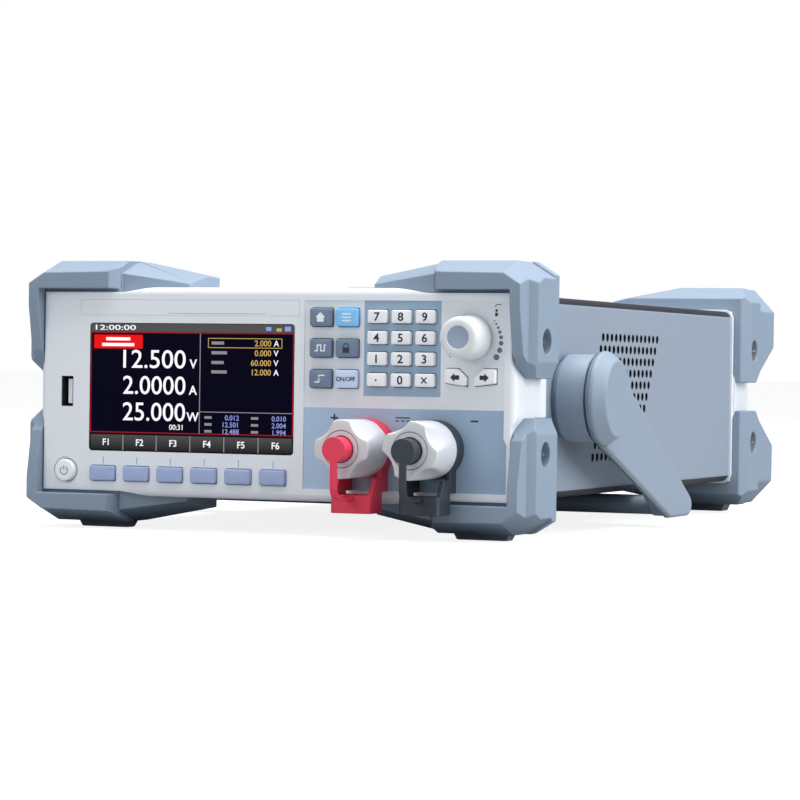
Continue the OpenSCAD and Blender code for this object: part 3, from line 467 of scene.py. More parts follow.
def skin(tree, shader, group, values, colour, depth):
    """Feeds a group's shade, roughness and height to the shader, with the bump's depth in metres."""
    effect = add(tree, "ShaderNodeGroup", node_tree=group)
    for label, value in values.items():
        effect.inputs[label].default_value = value
    tree.links.new(tinted(tree, colour, effect.outputs["Shade"]), shader.inputs["Base Color"])
    tree.links.new(effect.outputs["Roughness"], shader.inputs["Roughness"])
    bump = add(tree, "ShaderNodeBump")
    bump.inputs["Distance"].default_value = depth
    bump.inputs["Strength"].default_value = 0.6
    tree.links.new(effect.outputs["Height"], bump.inputs["Height"])
    tree.links.new(bump.outputs["Normal"], shader.inputs["Normal"])


def moulded(name, colour, gloss=0.5, bumps=3000.0, depth=0.01 * MM, drift=0.05, coat=0.0):
    """Moulded plastic, rubber or powder coat with its own grain."""
    material, tree, shader = blank_material(name)
    skin(tree, shader, GRAIN, {"Bumps per metre": bumps, "Drift": drift, "Gloss": gloss}, colour, depth)
    shader.inputs["Coat Weight"].default_value = coat
    shader.inputs["Coat Roughness"].default_value = 0.25
    return material


def printed(name, colour):
    """Thin ink."""
    return moulded(name, colour, bumps=6000, depth=0.004 * MM)


def metal(name, colour, lines=2500.0):
    """Plated or brushed metal."""
    material, tree, shader = blank_material(name)
    skin(tree, shader, BRUSH, {"Lines per metre": lines}, colour, 0.01 * MM)
    shader.inputs["Metallic"].default_value = 1.0
    return material


def glowing(name, colour, strength=1.0):
    """Lit figures of the screen, with a faint unevenness of the light behind them."""
    material, tree, shader = blank_material(name)
    effect = add(tree, "ShaderNodeGroup", node_tree=GRAIN)
    effect.inputs["Bumps per metre"].default_value = 5000
    shine = tinted(tree, colour, effect.outputs["Shade"])
    tree.links.new(shine, shader.inputs["Emission Color"])
    shader.inputs["Base Color"].default_value = (*(0.1 * c for c in colour), 1)
    shader.inputs["Emission Strength"].default_value = strength
    shader.inputs["Roughness"].default_value = 0.3
    shader.inputs["Specular IOR Level"].default_value = 0.04
    return material


BUMPER_BLUE = (0.232, 0.302, 0.39)
CASE_BLUE = (0.255, 0.31, 0.39)
SHELL_WHITE = (0.79, 0.83, 0.88)
FILM_WHITE = (0.74, 0.78, 0.83)
FILM_KEYPAD = (0.29, 0.41, 0.54)
FILM_TERMINAL = (0.41, 0.55, 0.73)
FILM_TERMINAL_END = (0.3, 0.42, 0.57)
# Near-black painted shade for the inside of the case sleeve, where the closed case is in shade.
PAINTED_INSIDE_SHADE = (0.012, 0.015, 0.022)
INK = (0.012, 0.017, 0.03)

bumper_skin = moulded("bumper_rubber", BUMPER_BLUE, gloss=0.62, bumps=2200, depth=0.03 * MM, drift=0.07)
handle_skin = moulded("handle_plastic", (0.25, 0.315, 0.4), bumps=2400, depth=0.03 * MM)
shell_skin = moulded("shell_plastic", SHELL_WHITE, gloss=0.42, bumps=3500, depth=0.012 * MM, drift=0.03)
number_key_skin = moulded("number_key_plastic", (0.88, 0.9, 0.93), gloss=0.38, drift=0.03)
function_key_skin = moulded("function_key_plastic", (0.15, 0.21, 0.32), gloss=0.4)
menu_key_skin = moulded("menu_key_plastic", (0.21, 0.57, 0.95), gloss=0.36)
output_key_skin = moulded("output_key_plastic", (0.57, 0.69, 0.9), gloss=0.38)
softkey_skin = moulded("softkey_plastic", (0.35, 0.44, 0.69), gloss=0.4)
knob_skin = moulded("knob_plastic", (0.72, 0.745, 0.77), gloss=0.42, depth=0.012 * MM, drift=0.03)
insert_skin = moulded("knob_insert_plastic", (0.3, 0.37, 0.5), depth=0.02 * MM)
nut_skin = moulded("nut_plastic", (0.64, 0.66, 0.7), gloss=0.32, depth=0.008 * MM, drift=0.03, coat=0.2)
red_skin = moulded("red_rubber", (0.8, 0.035, 0.09), gloss=0.42, depth=0.015 * MM, drift=0.06)
black_skin = moulded("black_rubber", (0.025, 0.033, 0.05), gloss=0.42, depth=0.015 * MM, drift=0.1)
dark_skin = moulded("dark_plastic", (0.02, 0.022, 0.027), depth=0.02 * MM, drift=0.1)
board_skin = moulded("board_mask", (0.03, 0.12, 0.06), gloss=0.35)
ink_skin = printed("printed_ink", INK)
grey_ink = printed("printed_grey", (0.12, 0.17, 0.24))
pale_ink = printed("printed_pale_grey", (0.45, 0.5, 0.57))
white_ink = printed("printed_white", (0.86, 0.88, 0.92))
steel_skin = metal("plated_steel", (0.62, 0.64, 0.67))
screw_skin = metal("dark_steel", (0.26, 0.28, 0.31))
sink_skin = metal("extruded_aluminium", (0.7, 0.71, 0.73), lines=1200)

# Fields of the printed film
KEYPAD_MARGIN = 1.419 * MM
KEYPAD_END = MID_Z - 0.1 * MM
TERMINAL_TOP = MID_Z - 5.2 * MM


def masked(tree, colour, limits, tint):
    """Colour that changes to the tint, a socket or three numbers, inside a box of X and Z."""
    zone = add(tree, "ShaderNodeGroup", node_tree=ZONE)
    for label, value in zip(ZONE_LIMITS, limits):
        zone.inputs[label].default_value = value
    return mixed(tree, zone.outputs["Mask"], colour, tint)


def case_material():
    """Powder coat outside, with a near-black painted shade inside the sleeve and in its vent holes, where the
    closed case is in shade.
    """
    material, tree, shader = blank_material("case_coat_and_inside_shade")
    low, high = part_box("case_cover")
    wall = 0.15 * MM
    inside = (low.x + wall, high.x - wall, low.z + wall, high.z - wall)
    # Painted shade: near black everywhere inside the sleeve's walls.
    colour = masked(tree, CASE_BLUE, inside, PAINTED_INSIDE_SHADE)
    skin(tree, shader, GRAIN, {"Bumps per metre": 1600.0, "Drift": 0.04, "Gloss": 0.5}, colour, 0.03 * MM)
    return material


def film_material():
    """Printed film: pale, with one field behind the number keys and another round the terminals."""
    material, tree, shader = blank_material("control_film")
    keys_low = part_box("key_point")[0]
    keys_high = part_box("key_9")[1]
    film_low, film_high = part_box("control_overlay")
    terminal = mixed(tree, ramp(tree, "X", film_low.x, film_high.x), FILM_TERMINAL, FILM_TERMINAL_END)
    keypad = (keys_low.x - KEYPAD_MARGIN, keys_high.x + KEYPAD_MARGIN, KEYPAD_END, film_high.z + MM)
    lower = (film_low.x - MM, film_high.x + MM, film_low.z - MM, TERMINAL_TOP)
    colour = masked(tree, masked(tree, FILM_WHITE, keypad, FILM_KEYPAD), lower, terminal)
    skin(tree, shader, GRAIN, {"Bumps per metre": 5000.0, "Drift": 0.03, "Gloss": 0.45}, colour, 0.008 * MM)
    return material


def glass_material():
    """Dark glossy window of the screen, with faint smears in its gloss."""
    material, tree, shader = blank_material("screen_glass")
    place = add(tree, "ShaderNodeTexCoord")
    smear = add(tree, "ShaderNodeTexNoise")
    smear.inputs["Scale"].default_value = 60
    tree.links.new(place.outputs["Object"], smear.inputs["Vector"])
    rough = math_node(tree, "MULTIPLY", smear.outputs["Fac"], 0.16)
    tree.links.new(rough, shader.inputs["Roughness"])
    shader.inputs["Base Color"].default_value = (0.0015, 0.0016, 0.006, 1)
    shader.inputs["Specular IOR Level"].default_value = 0.15
    return material


CAD_FINISHES = {
    shell_skin: ("front_panel", "rear_panel"),
    film_material(): ("control_overlay",),
    glass_material(): ("display_window",),
    case_material(): ("case_cover",),
    nut_skin: ("terminal_studs",),
    insert_skin: ("knob_cap",),
    steel_skin: ("display_module", "encoder_shaft", "encoder_rotor", "terminal_washer_pos",
                 "terminal_washer_neg", "chassis"),
    sink_skin: ("heat_sink",),
    board_skin: ("key_board", "main_board"),
    dark_skin: ("fan_frame", "fan_rotor", "mains_inlet", "usb_socket"),
}
for finish, names in CAD_FINISHES.items():
    for name in names:
        coat(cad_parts[name], finish)


# Front bumpers, in millimetres from the middle of the panel's face

X_AXIS, Y_AXIS, Z_AXIS = np.eye(3)
HALF_W, HALF_H, BULGE = 107.25, 42.4, 2.0
BUMPER_SIDE, BUMPER_TOP, BUMPER_BACK, NOSE = 117.0, 56.0, 29.5, 5.5
WING_X, WING_Y, WING_RIM = WING_ROOT = 72.0, 3.6, 50.6
WING_RUN, WING_L = (-1, 0.188, -0.1475), 36.0
FRONT_VIEW = [(30, 0), (114.2, 0), (114.2, 8.4), (BUMPER_SIDE, 14.6), (BUMPER_SIDE, 50.4), (108, BUMPER_TOP),
              (WING_X, BUMPER_TOP), (30, 47.79)]
TOP_VIEW = [(37.04, 35), (42.75, 9.1), (WING_X, WING_Y), (75, -3.4), (105.55, -NOSE), (112.65, -NOSE),
            (113.25, 2.3), (120, 7.16), (120, 35)]
SIDE_VIEW = [(47.5, 8.2), (10.3, 8.2), (-1.3, 17.2), (-5.55, 37), (-5.55, WING_RIM), (-3.2, 51.2), (40, 66.9),
             (47.5, 66.9)]
WING_VIEW = [(43, -42), (15.8, -42), (4.2, -33.4), (0, -13.6), (0, 0), (2.3, 0.6), (43, 15.4)]
FACET_LEAN = math.atan2(9, 5.6)
FACET_OUT = np.array((math.cos(FACET_LEAN), 0, math.sin(FACET_LEAN)))
FACET_ALONG = np.array((-FACET_OUT[2], 0, FACET_OUT[0]))
RIM_REACH = np.dot((109.1, 0, 48.15), FACET_OUT)
FACET_REACH = np.dot((112.5, 0, 53.2), FACET_OUT)
GROOVE_REACH = FACET_REACH - 1.2
FACET_VIEW = [(-200, 31), (-200, -7), (RIM_REACH, -7), (RIM_REACH, -5.6), (RIM_REACH + 0.6, -3.2),
              (GROOVE_REACH, 11), (GROOVE_REACH, 24), (FACET_REACH + 1, 24), (FACET_REACH + 1, 31)]
RIM_OPENING, RIM_DEPTH = bar(-5, -5, 107.95, 43.8), 2.3
SCREW_BORE, SCREW_FLOOR = dot(15.5, 23, 5.2, 40), 4.2
FOOT, FOOT_START, FOOT_END, FOOT_TAPER = bar(75, 18.5, 100.5, 28.5), 55, 59, 1.6


def prism(outline, across_axis, up_axis, along, low, high, root=(0, 0, 0)):
    """Outline in the plane of two directions, carried along a third from low to high."""
    flat = np.asarray(outline, float)
    ring = np.asarray(root) + flat[:, :1] * np.asarray(across_axis) + flat[:, 1:] * np.asarray(up_axis)
    points = np.vstack([ring + low * np.asarray(along, float), ring + high * np.asarray(along, float)])
    return mesh_piece("prism", points, prism_faces(len(flat)))


def combine(base, tool, operation):
    """Boolean of two closed pieces; the tool is used up."""
    step = base.modifiers.new("combine", "BOOLEAN")
    step.operation = operation
    step.solver = "EXACT"
    step.use_hole_tolerant = True
    step.object = tool
    shape = baked(base)
    base.modifiers.clear()
    base.data = shape
    bpy.data.objects.remove(tool)


def panel_edge():
    """Panel's outline in one quarter: edges climb in an S from the corner's seats to the raised middle."""
    share = np.linspace(0, 1, 9)
    climb = BULGE * share * share * (3 - 2 * share)
    side = np.stack([HALF_W + BULGE - climb, 7 + 7 * share], axis=1)
    top = np.stack([72 - 18 * share, HALF_H + climb], axis=1)
    return np.vstack([[(0, -5), (HALF_W + BULGE, -5)], side, [(HALF_W, HALF_H)], top, [(0, HALF_H + BULGE)]])


def tapered_foot():
    """Block that narrows by the taper on each side towards its end."""
    inwards = FOOT_TAPER * np.sign(FOOT.mean(axis=0) - FOOT)
    rings = [np.column_stack([ring, np.full(4, z)])
             for ring, z in ((FOOT, FOOT_START), (FOOT + inwards, FOOT_END))]
    return surface("foot", np.stack(rings), poles=(True, True))


def front_bumper(foot):
    """One bumper: what its front, top and side views and its corner facet have in common.

    The side view holds a wing that runs back and down. The panel and the screw's bore are taken away, and a
    foot is added if wanted."""
    shape = prism(FRONT_VIEW, X_AXIS, Z_AXIS, Y_AXIS, -6.5, BUMPER_BACK)
    profile = prism(SIDE_VIEW, Y_AXIS, Z_AXIS, X_AXIS, WING_X + 0.05, 121)
    combine(profile, prism(WING_VIEW, Y_AXIS, Z_AXIS, WING_RUN, -1, WING_L, WING_ROOT), "UNION")
    for view in (prism(TOP_VIEW, X_AXIS, Y_AXIS, Z_AXIS, -1, 58), profile,
                 prism(FACET_VIEW, FACET_OUT, Y_AXIS, FACET_ALONG, -300, 300)):
        combine(shape, view, "INTERSECT")
    for hole in (prism(RIM_OPENING, X_AXIS, Z_AXIS, Y_AXIS, -9, RIM_DEPTH),
                 prism(panel_edge(), X_AXIS, Z_AXIS, Y_AXIS, -8, 33),
                 prism(SCREW_BORE, Y_AXIS, Z_AXIS, X_AXIS, HALF_W + SCREW_FLOOR, 125)):
        combine(shape, hole, "DIFFERENCE")
    if foot:
        combine(shape, tapered_foot(), "UNION")
    return shape


def mirrored(piece, name, way_x, way_z):
    """Copy of a piece on either side of the middle, in its place on the panel."""
    mesh = piece.data.copy()
    co = points_of(mesh) * (way_x * MM, MM, way_z * MM) + (0, FACE_Y, MID_Z)
    mesh.vertices.foreach_set("co", co.astype(np.float32).ravel())
    outward(mesh)
    return placed(name, mesh)


for node, way in (("upper_front_bumpers", 1), ("lower_front_bumpers", -1)):
    corner = front_bumper(foot=way < 0)
    pair = join(node + "_soft", [mirrored(corner, f"{node}_{side}", side, way) for side in (-1, 1)])
    bpy.data.objects.remove(corner)
    pair.data.shade_smooth()
    finished(round_edges(pair, 0.5 * MM), "case", bumper_skin, "bumper", node)


# Guards and handle

finished(softened("rear_bumpers", 0.7 * MM), "case", bumper_skin, "bumper", "rear_bumpers")
finished(softened("handle", 0.6 * MM), "handle", handle_skin, "handle", "handle")
finished(softened("handle_hubs", 0.4 * MM), "case", handle_skin, "handle", "handle_hubs")
for side, cover, slot in (("pos", red_skin, "red_cover"), ("neg", black_skin, "black_cover")):
    shroud = "terminal_shroud_" + side
    cap = "terminal_cap_" + side
    finished(softened(shroud, 0.35 * MM), "case", cover, slot, shroud)
    finished(softened(cap, 0.3 * MM), "cap_" + side, cover, slot, cap)


# Keys

KEY_ROUND = 0.9 * MM
KEY_EDGE = 0.55 * MM
KEY_CROWN = 0.15 * MM
KEY_SKIRT = 4.0 * MM
KEY_LIP = 0.75 * MM
SIGN_LIFT = 0.02 * MM
FIGURE_BOLD = 0.02


def key_span(node):
    """Left, right, lower and upper edge of a key's front: its node's box less the lip behind the panel."""
    low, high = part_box(node)
    return low.x + KEY_LIP, high.x - KEY_LIP, low.z + KEY_LIP, high.z - KEY_LIP


def make_key(node, corners, material, slot):
    """Moulded key of the given outline in place of its node."""
    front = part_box(node)[0].y
    cap = button(node + "_cap", corners, KEY_ROUND, front + KEY_CROWN, front + KEY_SKIRT, KEY_EDGE, KEY_CROWN)
    finished(cap, node, material, slot, node)


def plain_key(node, material, slot):
    """Oblong key."""
    left, right, lower, upper = key_span(node)
    make_key(node, bar(left, lower, right, upper), material, slot)


def sign(node, loops, material):
    """Flat sign on a key, which moves with it; its loops are in millimetres from the key's middle."""
    place = middle_of(node)
    piece = plates(node + "_figure", [place + np.asarray(loop) * MM for loop in loops],
                   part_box(node)[0].y - SIGN_LIFT)
    finished(piece, node, material)


def key_text(node, text, height, squeeze):
    """Figure on a key, which moves with it."""
    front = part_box(node)[0].y - SIGN_LIFT
    piece = lettering(node + "_figure", text, height, *middle_of(node), front, squeeze=squeeze,
                      bold=FIGURE_BOLD)
    finished(piece, node, ink_skin)


for number in range(1, 7):
    plain_key(f"softkey_{number}", softkey_skin, "softkey")
for name in ("home", "mode", "lock", "trigger"):
    plain_key("key_" + name, function_key_skin, "function_key")
plain_key("key_menu", menu_key_skin, "menu_key")
plain_key("key_on_off", output_key_skin, "output_key")
for name in [str(n) for n in range(10)] + ["point", "esc"]:
    plain_key("key_" + name, number_key_skin, "pale_key")
for number in range(10):
    key_text(f"key_{number}", str(number), 3.3 * MM, 1.08)
key_text("key_on_off", "ON/OFF", 1.8 * MM, 0.9)

CROSS = [stroke([(-1.2, -1.2), (1.2, 1.2)], 0.55), stroke([(-1.2, 1.2), (1.2, -1.2)], 0.55)]
HOUSE = [[(-2.2, 0), (-1.5, 0), (-1.5, -1.9), (1.5, -1.9), (1.5, 0), (2.2, 0), (0, 2.1)]]
LINES = [bar(-2.0, z - 0.28, 2.0, z + 0.28) for z in (-1.4, 0, 1.4)]
PULSES = [stroke([(-2.4, -1.2), (-1.2, -1.2), (-1.2, 1.2), (0.4, 1.2), (0.4, -1.2), (2.0, -1.2), (2.0, 1.2),
                  (2.6, 1.2)], 0.5)]
SHACKLE = np.vstack([[(-1.0, 0.3)], arc(0, 0.9, 1.0, 180, 0, 20), [(1.0, 0.3)]])
PADLOCK = [bar(-1.5, -1.9, 1.5, 0.3), stroke(SHACKLE, 0.45)]
STEP_UP = [stroke([(-2.3, -1.4), (-0.3, -1.4), (-0.3, 1.4), (2.3, 1.4)], 0.5),
           [(-1.1, -0.3), (0.5, -0.3), (-0.3, 0.8)]]
KEY_SIGNS = {"point": ([dot(0, -0.2, 0.42)], ink_skin), "esc": (CROSS, ink_skin), "home": (HOUSE, white_ink),
             "menu": (LINES, white_ink), "mode": (PULSES, white_ink), "lock": (PADLOCK, ink_skin),
             "trigger": (STEP_UP, white_ink)}
for name, (loops, ink) in KEY_SIGNS.items():
    sign("key_" + name, loops, ink)

ARROW_CUT_X, ARROW_CUT_Z, ARROW_SLOPE = 4.0 * MM, 3.6 * MM, 1.2 * MM
ARROW = np.array([(-2.0, 0), (-0.2, 1.8), (-0.2, 0.9), (1.9, 0.9), (1.9, -0.9), (-0.2, -0.9), (-0.2, -1.8)])


def arrow_outline(node, way):
    """Key with its upper inner corner cut off and a lower edge that slopes up outwards."""
    left, right, lower, upper = key_span(node)
    if way < 0:
        return [(left, lower + ARROW_SLOPE), (right, lower), (right, upper - ARROW_CUT_Z),
                (right - ARROW_CUT_X, upper), (left, upper)]
    return [(left, lower), (right, lower + ARROW_SLOPE), (right, upper), (left + ARROW_CUT_X, upper),
            (left, upper - ARROW_CUT_Z)]


for name, way in (("key_left", -1), ("key_right", 1)):
    make_key(name, arrow_outline(name, way), number_key_skin, "pale_key")
    sign(name, [ARROW * (-way, 1)], ink_skin)

power_low, power_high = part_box("power_button")
POWER_EDGE = 0.9 * MM
power_r = (power_high.x - power_low.x) / 2 - KEY_LIP


def power_profile():
    """Straight side, then a quarter round of the edge radius up to a flat face."""
    bend = np.linspace(0, np.pi / 2, 8)
    radius = power_r - POWER_EDGE * (1 - np.cos(bend))
    depth = power_low.y + POWER_EDGE * (1 - np.sin(bend))
    face = [(power_r * 0.5, power_low.y)]
    return np.vstack([[(power_r, power_low.y + KEY_SKIRT)], np.stack([radius, depth], axis=1), face])


power_cap = turned("power_button_cap", power_profile(), middle_of("power_button"), 64)
finished(power_cap, "power_button", number_key_skin, "pale_key", "power_button")
sign("power_button", [stroke(arc(0, -0.2, 1.7, 125, 415, 32), 0.4), bar(-0.22, 0.1, 0.22, 1.9)], grey_ink)


# Knob

KNOB_FLARE = 0.7 * MM
KNOB_EDGE = 2.4 * MM
KNOB_LIP = 0.25 * MM
knob_low, knob_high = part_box("knob")
knob_r = (knob_high.x - knob_low.x) / 2
knob_mid = middle_of("knob")
insert_low, insert_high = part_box("knob_cap")
insert_r = (insert_high.x - insert_low.x) / 2


def knob_profile():
    """Side that flares towards the base as the square of its height, a round front edge, and a seat for the
    insert."""
    top = knob_r - KNOB_FLARE
    height = np.linspace(0, 1, 12)
    edge_start = knob_low.y + KNOB_EDGE
    depth = knob_high.y + (edge_start - knob_high.y) * height
    side = np.stack([top + KNOB_FLARE * (1 - height) ** 2, depth], axis=1)
    t = np.linspace(0, np.pi / 2, 12)[1:]
    edge = np.stack([top - KNOB_EDGE * (1 - np.cos(t)), knob_low.y + KNOB_EDGE * (1 - np.sin(t))], axis=1)
    seat = [(insert_r + KNOB_LIP, knob_low.y), (insert_r, knob_low.y + KNOB_LIP), (insert_r, insert_high.y)]
    return np.concatenate([[(insert_r, knob_high.y)], side, edge, seat])


finished(turned("knob_body", knob_profile(), knob_mid, 128), "knob", knob_skin, "knob", "knob")
DISH = 0.35 * MM
dish_r = np.linspace(insert_r, insert_r * 0.1, 8)
dish = np.stack([dish_r, insert_low.y + KNOB_LIP + DISH * (1 - (dish_r / insert_r) ** 2)], axis=1)
insert = turned("knob_insert", np.vstack([[(insert_r, insert_high.y)], dish]), knob_mid, 64)
finished(insert, "knob", insert_skin, "knob_insert", "knob_cap")


# Terminal nuts

SCALLOPS = 4
SCALLOP_R = 11 * MM
SCALLOP_DEPTH = 2.8 * MM
SCALLOP_START = 4 * MM
NUT_EDGE = 0.6 * MM
NUT_BORE = 7.7 * MM
BORE_STEP = 6 * MM
BLEND = 0.22 * MM


def nut_radius(angle, share, full, turn):
    """Outline of a nut: the lesser, smoothly joined, of a circle and of the near side of each scallop.

    A scallop is a circle whose centre comes closer by the depth as share goes from 0 to 1."""
    away = full + SCALLOP_R - SCALLOP_DEPTH * share
    pitch = 2 * np.pi / SCALLOPS
    offset = (angle - turn + pitch / 2) % pitch - pitch / 2
    inside = SCALLOP_R ** 2 - (away * np.sin(offset)) ** 2
    near = np.where(inside > 0, away * np.cos(offset) - np.sqrt(np.maximum(inside, 0)), full * 2)
    low = np.minimum(near, full)
    return low - BLEND * np.log1p(np.exp(-np.abs(near - full) / BLEND))


def make_nut(side, turn):
    """Clamping nut: round behind, scalloped towards the front, with a round front edge and an open bore."""
    node = "terminal_nut_" + side
    low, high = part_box(node)
    centre = middle_of(node)
    full = (high.x - low.x) / 2
    angle = np.linspace(0, 2 * np.pi, 144, endpoint=False)
    length = high.y - low.y
    depth = np.linspace(0, length - NUT_EDGE, 28)
    share = np.clip((depth - SCALLOP_START) / (length - SCALLOP_START), 0, 1)
    body = nut_radius(angle[None], share[:, None], full, turn)
    t = np.linspace(0, np.pi / 2, 6)[1:]
    rim = nut_radius(angle[None], np.ones((len(t), 1)), full, turn) - NUT_EDGE * (1 - np.cos(t))[:, None]
    bore = np.full((2, len(angle)), NUT_BORE)
    rows = np.concatenate([bore[:1], body, rim, bore])
    rim_y = low.y + NUT_EDGE * (1 - np.sin(t))
    y = np.concatenate([[high.y], high.y - depth, rim_y, [low.y, high.y - BORE_STEP]])
    grid = np.stack([centre[0] + rows * np.cos(angle)[None], np.repeat(y[:, None], len(angle), axis=1),
                     centre[1] + rows * np.sin(angle)[None]], axis=-1)
    finished(surface(node + "_body", grid, ring=True), "nut_" + side, nut_skin, "terminal", node)


make_nut("pos", math.radians(45))
make_nut("neg", math.radians(-61))


# Bumper screws

SCREW_R = 4.5 * MM
SCREW_T = 2.6 * MM
DOME_T = 4.0 * MM
CROSS_W = 1.2 * MM
CROSS_L = 2.6 * MM
CROSS_DEPTH = 1.3 * MM


def screw_head(name, x, y, z, way):
    """Pan head facing along X: a dome over a disc, sunk where the point lies in either arm of a cross."""
    radius = np.linspace(SCREW_R, 0.02 * MM, 34)
    angle = np.linspace(0, 2 * np.pi, 96, endpoint=False)
    u = radius[:, None] * np.cos(angle)[None]
    v = radius[:, None] * np.sin(angle)[None]
    dome = DOME_T * (1 - 0.3 * (radius / SCREW_R) ** 4)[:, None]
    arm = np.minimum(np.maximum(np.abs(u) / CROSS_L, np.abs(v) / (CROSS_W / 2)),
                     np.maximum(np.abs(v) / CROSS_L, np.abs(u) / (CROSS_W / 2)))
    sink = CROSS_DEPTH * np.clip((1.15 - arm) / 0.3, 0, 1)
    height = np.vstack([np.zeros((1, len(angle))), dome - sink])
    u, v = np.vstack([u[:1], u]), np.vstack([v[:1], v])
    return surface(name, np.stack([x + way * height, y + u, z + v], axis=-1), poles=(True, True))


def screw_seats():
    """Middle of each screw head's underside, from the two corners of the node that holds all eight."""
    low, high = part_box("bumper_screws")
    front, rear = low.y + SCREW_R, high.y - SCREW_R
    base, top = low.z + SCREW_R, high.z - SCREW_R
    return [(way * (high.x - SCREW_T), y, z, way)
            for way in (-1, 1) for y in (front, rear) for z in (base, top)]


heads = [screw_head(f"screw_{k}", *seat) for k, seat in enumerate(screw_seats())]
finished(join("bumper_screw_heads", heads), "case", screw_skin, "steel", "bumper_screws")


# Tongue inside the socket

TONGUE_LEFT, TONGUE_RIGHT, TONGUE_H = 0.2 * MM, 1.7 * MM, 5.2 * MM
TONGUE_SINK, TONGUE_L = 1.2 * MM, 6.5 * MM
usb_x, usb_z = middle_of("usb_socket")
tongue_face = bar(usb_x - TONGUE_LEFT, usb_z - TONGUE_H, usb_x + TONGUE_RIGHT, usb_z + TONGUE_H)
tongue = plates("usb_tongue", [tongue_face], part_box("usb_socket")[0].y + TONGUE_SINK, TONGUE_L)
finished(tongue, "case", white_ink, "shell")


# Screen

SCREEN_LOW, SCREEN_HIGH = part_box("display_window")
SCREEN_W = SCREEN_HIGH.x - SCREEN_LOW.x
SCREEN_H = SCREEN_HIGH.z - SCREEN_LOW.z
SCREEN_Y = SCREEN_LOW.y - 0.05 * MM
LINE_LIFT, FIGURE_LIFT, LABEL_LIFT = 0.03 * MM, 0.05 * MM, 0.07 * MM


def across(u):
    """X of a share of the screen's width, from the left."""
    return SCREEN_LOW.x + u * SCREEN_W


def down(v):
    """Z of a share of the screen's height, from the top."""
    return SCREEN_HIGH.z - v * SCREEN_H


def field(u0, v0, u1, v1):
    """Rectangle on the screen from shares of its size."""
    return bar(across(u0), down(v1), across(u1), down(v0))


def show(name, loops, material, lift=LINE_LIFT):
    """Lit or painted shapes on the screen."""
    finished(plates(name, loops, SCREEN_Y - lift), "case", material)


def figures(name, text, height, u, v, material, align="RIGHT", bold=0.008, width=None):
    """Lit figures on the screen; their height and width are shares of the screen's."""
    piece = lettering(name, text, height * SCREEN_H, across(u), down(v), SCREEN_Y - FIGURE_LIFT, align,
                      bold=bold, width=width and width * SCREEN_W)
    finished(piece, "case", material)


def outline(u0, v0, u1, v1, width):
    """Four lines round a rectangle given by shares of the screen's size."""
    return frame_strokes(across(u0), down(v1), across(u1), down(v0), width)


def tab_material():
    """Dark grey tabs and title bar that grow darker towards their foot."""
    material, tree, shader = blank_material("screen_tabs")
    tone = ramp(tree, "Z", down(1.0), down(0.86), 0.006, 0.05)
    tree.links.new(tone, shader.inputs["Base Color"])
    tree.links.new(tone, shader.inputs["Emission Color"])
    shader.inputs["Emission Strength"].default_value = 0.9
    shader.inputs["Specular IOR Level"].default_value = 0.04
    return material


lit_white = glowing("lit_white", (0.95, 0.95, 1.0))
lit_grey = glowing("lit_grey", (0.3, 0.3, 0.33), 0.8)
lit_red = glowing("lit_red", (0.85, 0.008, 0.008), 0.9)
lit_frame = glowing("lit_frame_red", (0.42, 0.012, 0.025), 0.8)
lit_amber = glowing("lit_amber", (0.62, 0.42, 0.12), 0.9)
lit_blue = glowing("lit_blue", (0.28, 0.36, 0.8), 0.9)
lit_navy = glowing("lit_navy", (0.0012, 0.001, 0.008), 1.0)
tab_finish = tab_material()

TABS = 6
EDGE_U, BAR_U = 0.007, 0.004
MAIN_TOP, MAIN_END = 0.075, 0.856
TAB_TOP, TAB_END, TAB_LINE = 0.872, 0.99, 0.0025
SPLIT_U, SPLIT_V = 0.545, 0.682
tab_u = np.linspace(BAR_U, 1 - BAR_U, TABS + 1)
tab_fields = [field(a + BAR_U, TAB_TOP, b - BAR_U, TAB_END) for a, b in zip(tab_u[:-1], tab_u[1:])]
tab_lines = [field(u - TAB_LINE, TAB_TOP, u + TAB_LINE, TAB_END) for u in tab_u[1:-1]]
show("screen_field", [field(EDGE_U, MAIN_TOP, 1 - EDGE_U, MAIN_END)], lit_navy, 0)
show("screen_title_bar", [field(BAR_U, BAR_U, 1 - BAR_U, MAIN_TOP - 0.006)], tab_finish, 0)
show("screen_tabs", tab_fields, tab_finish, 0)
show("screen_tab_lines", tab_lines, lit_grey, 0)
show("screen_frame", outline(BAR_U, MAIN_TOP - 0.004, 1 - BAR_U, MAIN_END, 0.42 * MM), lit_frame)
show("screen_lines", [field(SPLIT_U - 0.002, MAIN_TOP + 0.004, SPLIT_U + 0.002, MAIN_END - 0.006),
                      field(SPLIT_U, SPLIT_V - 0.003, 0.99, SPLIT_V + 0.003)], lit_grey)
show("screen_mode_label", [field(0.02, 0.093, 0.262, 0.2)], lit_red)
show("screen_mode_bars", [field(0.08, 0.113, 0.2, 0.137), field(0.06, 0.158, 0.22, 0.182)], lit_white,
     LABEL_LIFT)
figures("screen_clock", "12:00:00", 0.038, 0.015, 0.036, lit_white, "LEFT", width=0.2)
show("screen_signs", [field(0.862, 0.024, 0.887, 0.054), field(0.952, 0.02, 0.98, 0.056)], lit_blue)
show("screen_lock_sign", [field(0.912, 0.034, 0.936, 0.058)], lit_amber)

READINGS = (("12.500", "V", 0.279), ("2.0000", "A", 0.482), ("25.000", "W", 0.688))
for value, unit, v in READINGS:
    figures(f"reading_{unit}", value, 0.139, 0.478, v, lit_white, bold=0.004, width=0.308)
    figures(f"reading_unit_{unit}", unit, 0.068, 0.512, v + 0.034, lit_white, "CENTER", bold=0.015)
figures("screen_timer", "00:31", 0.04, 0.47, 0.805, lit_white)

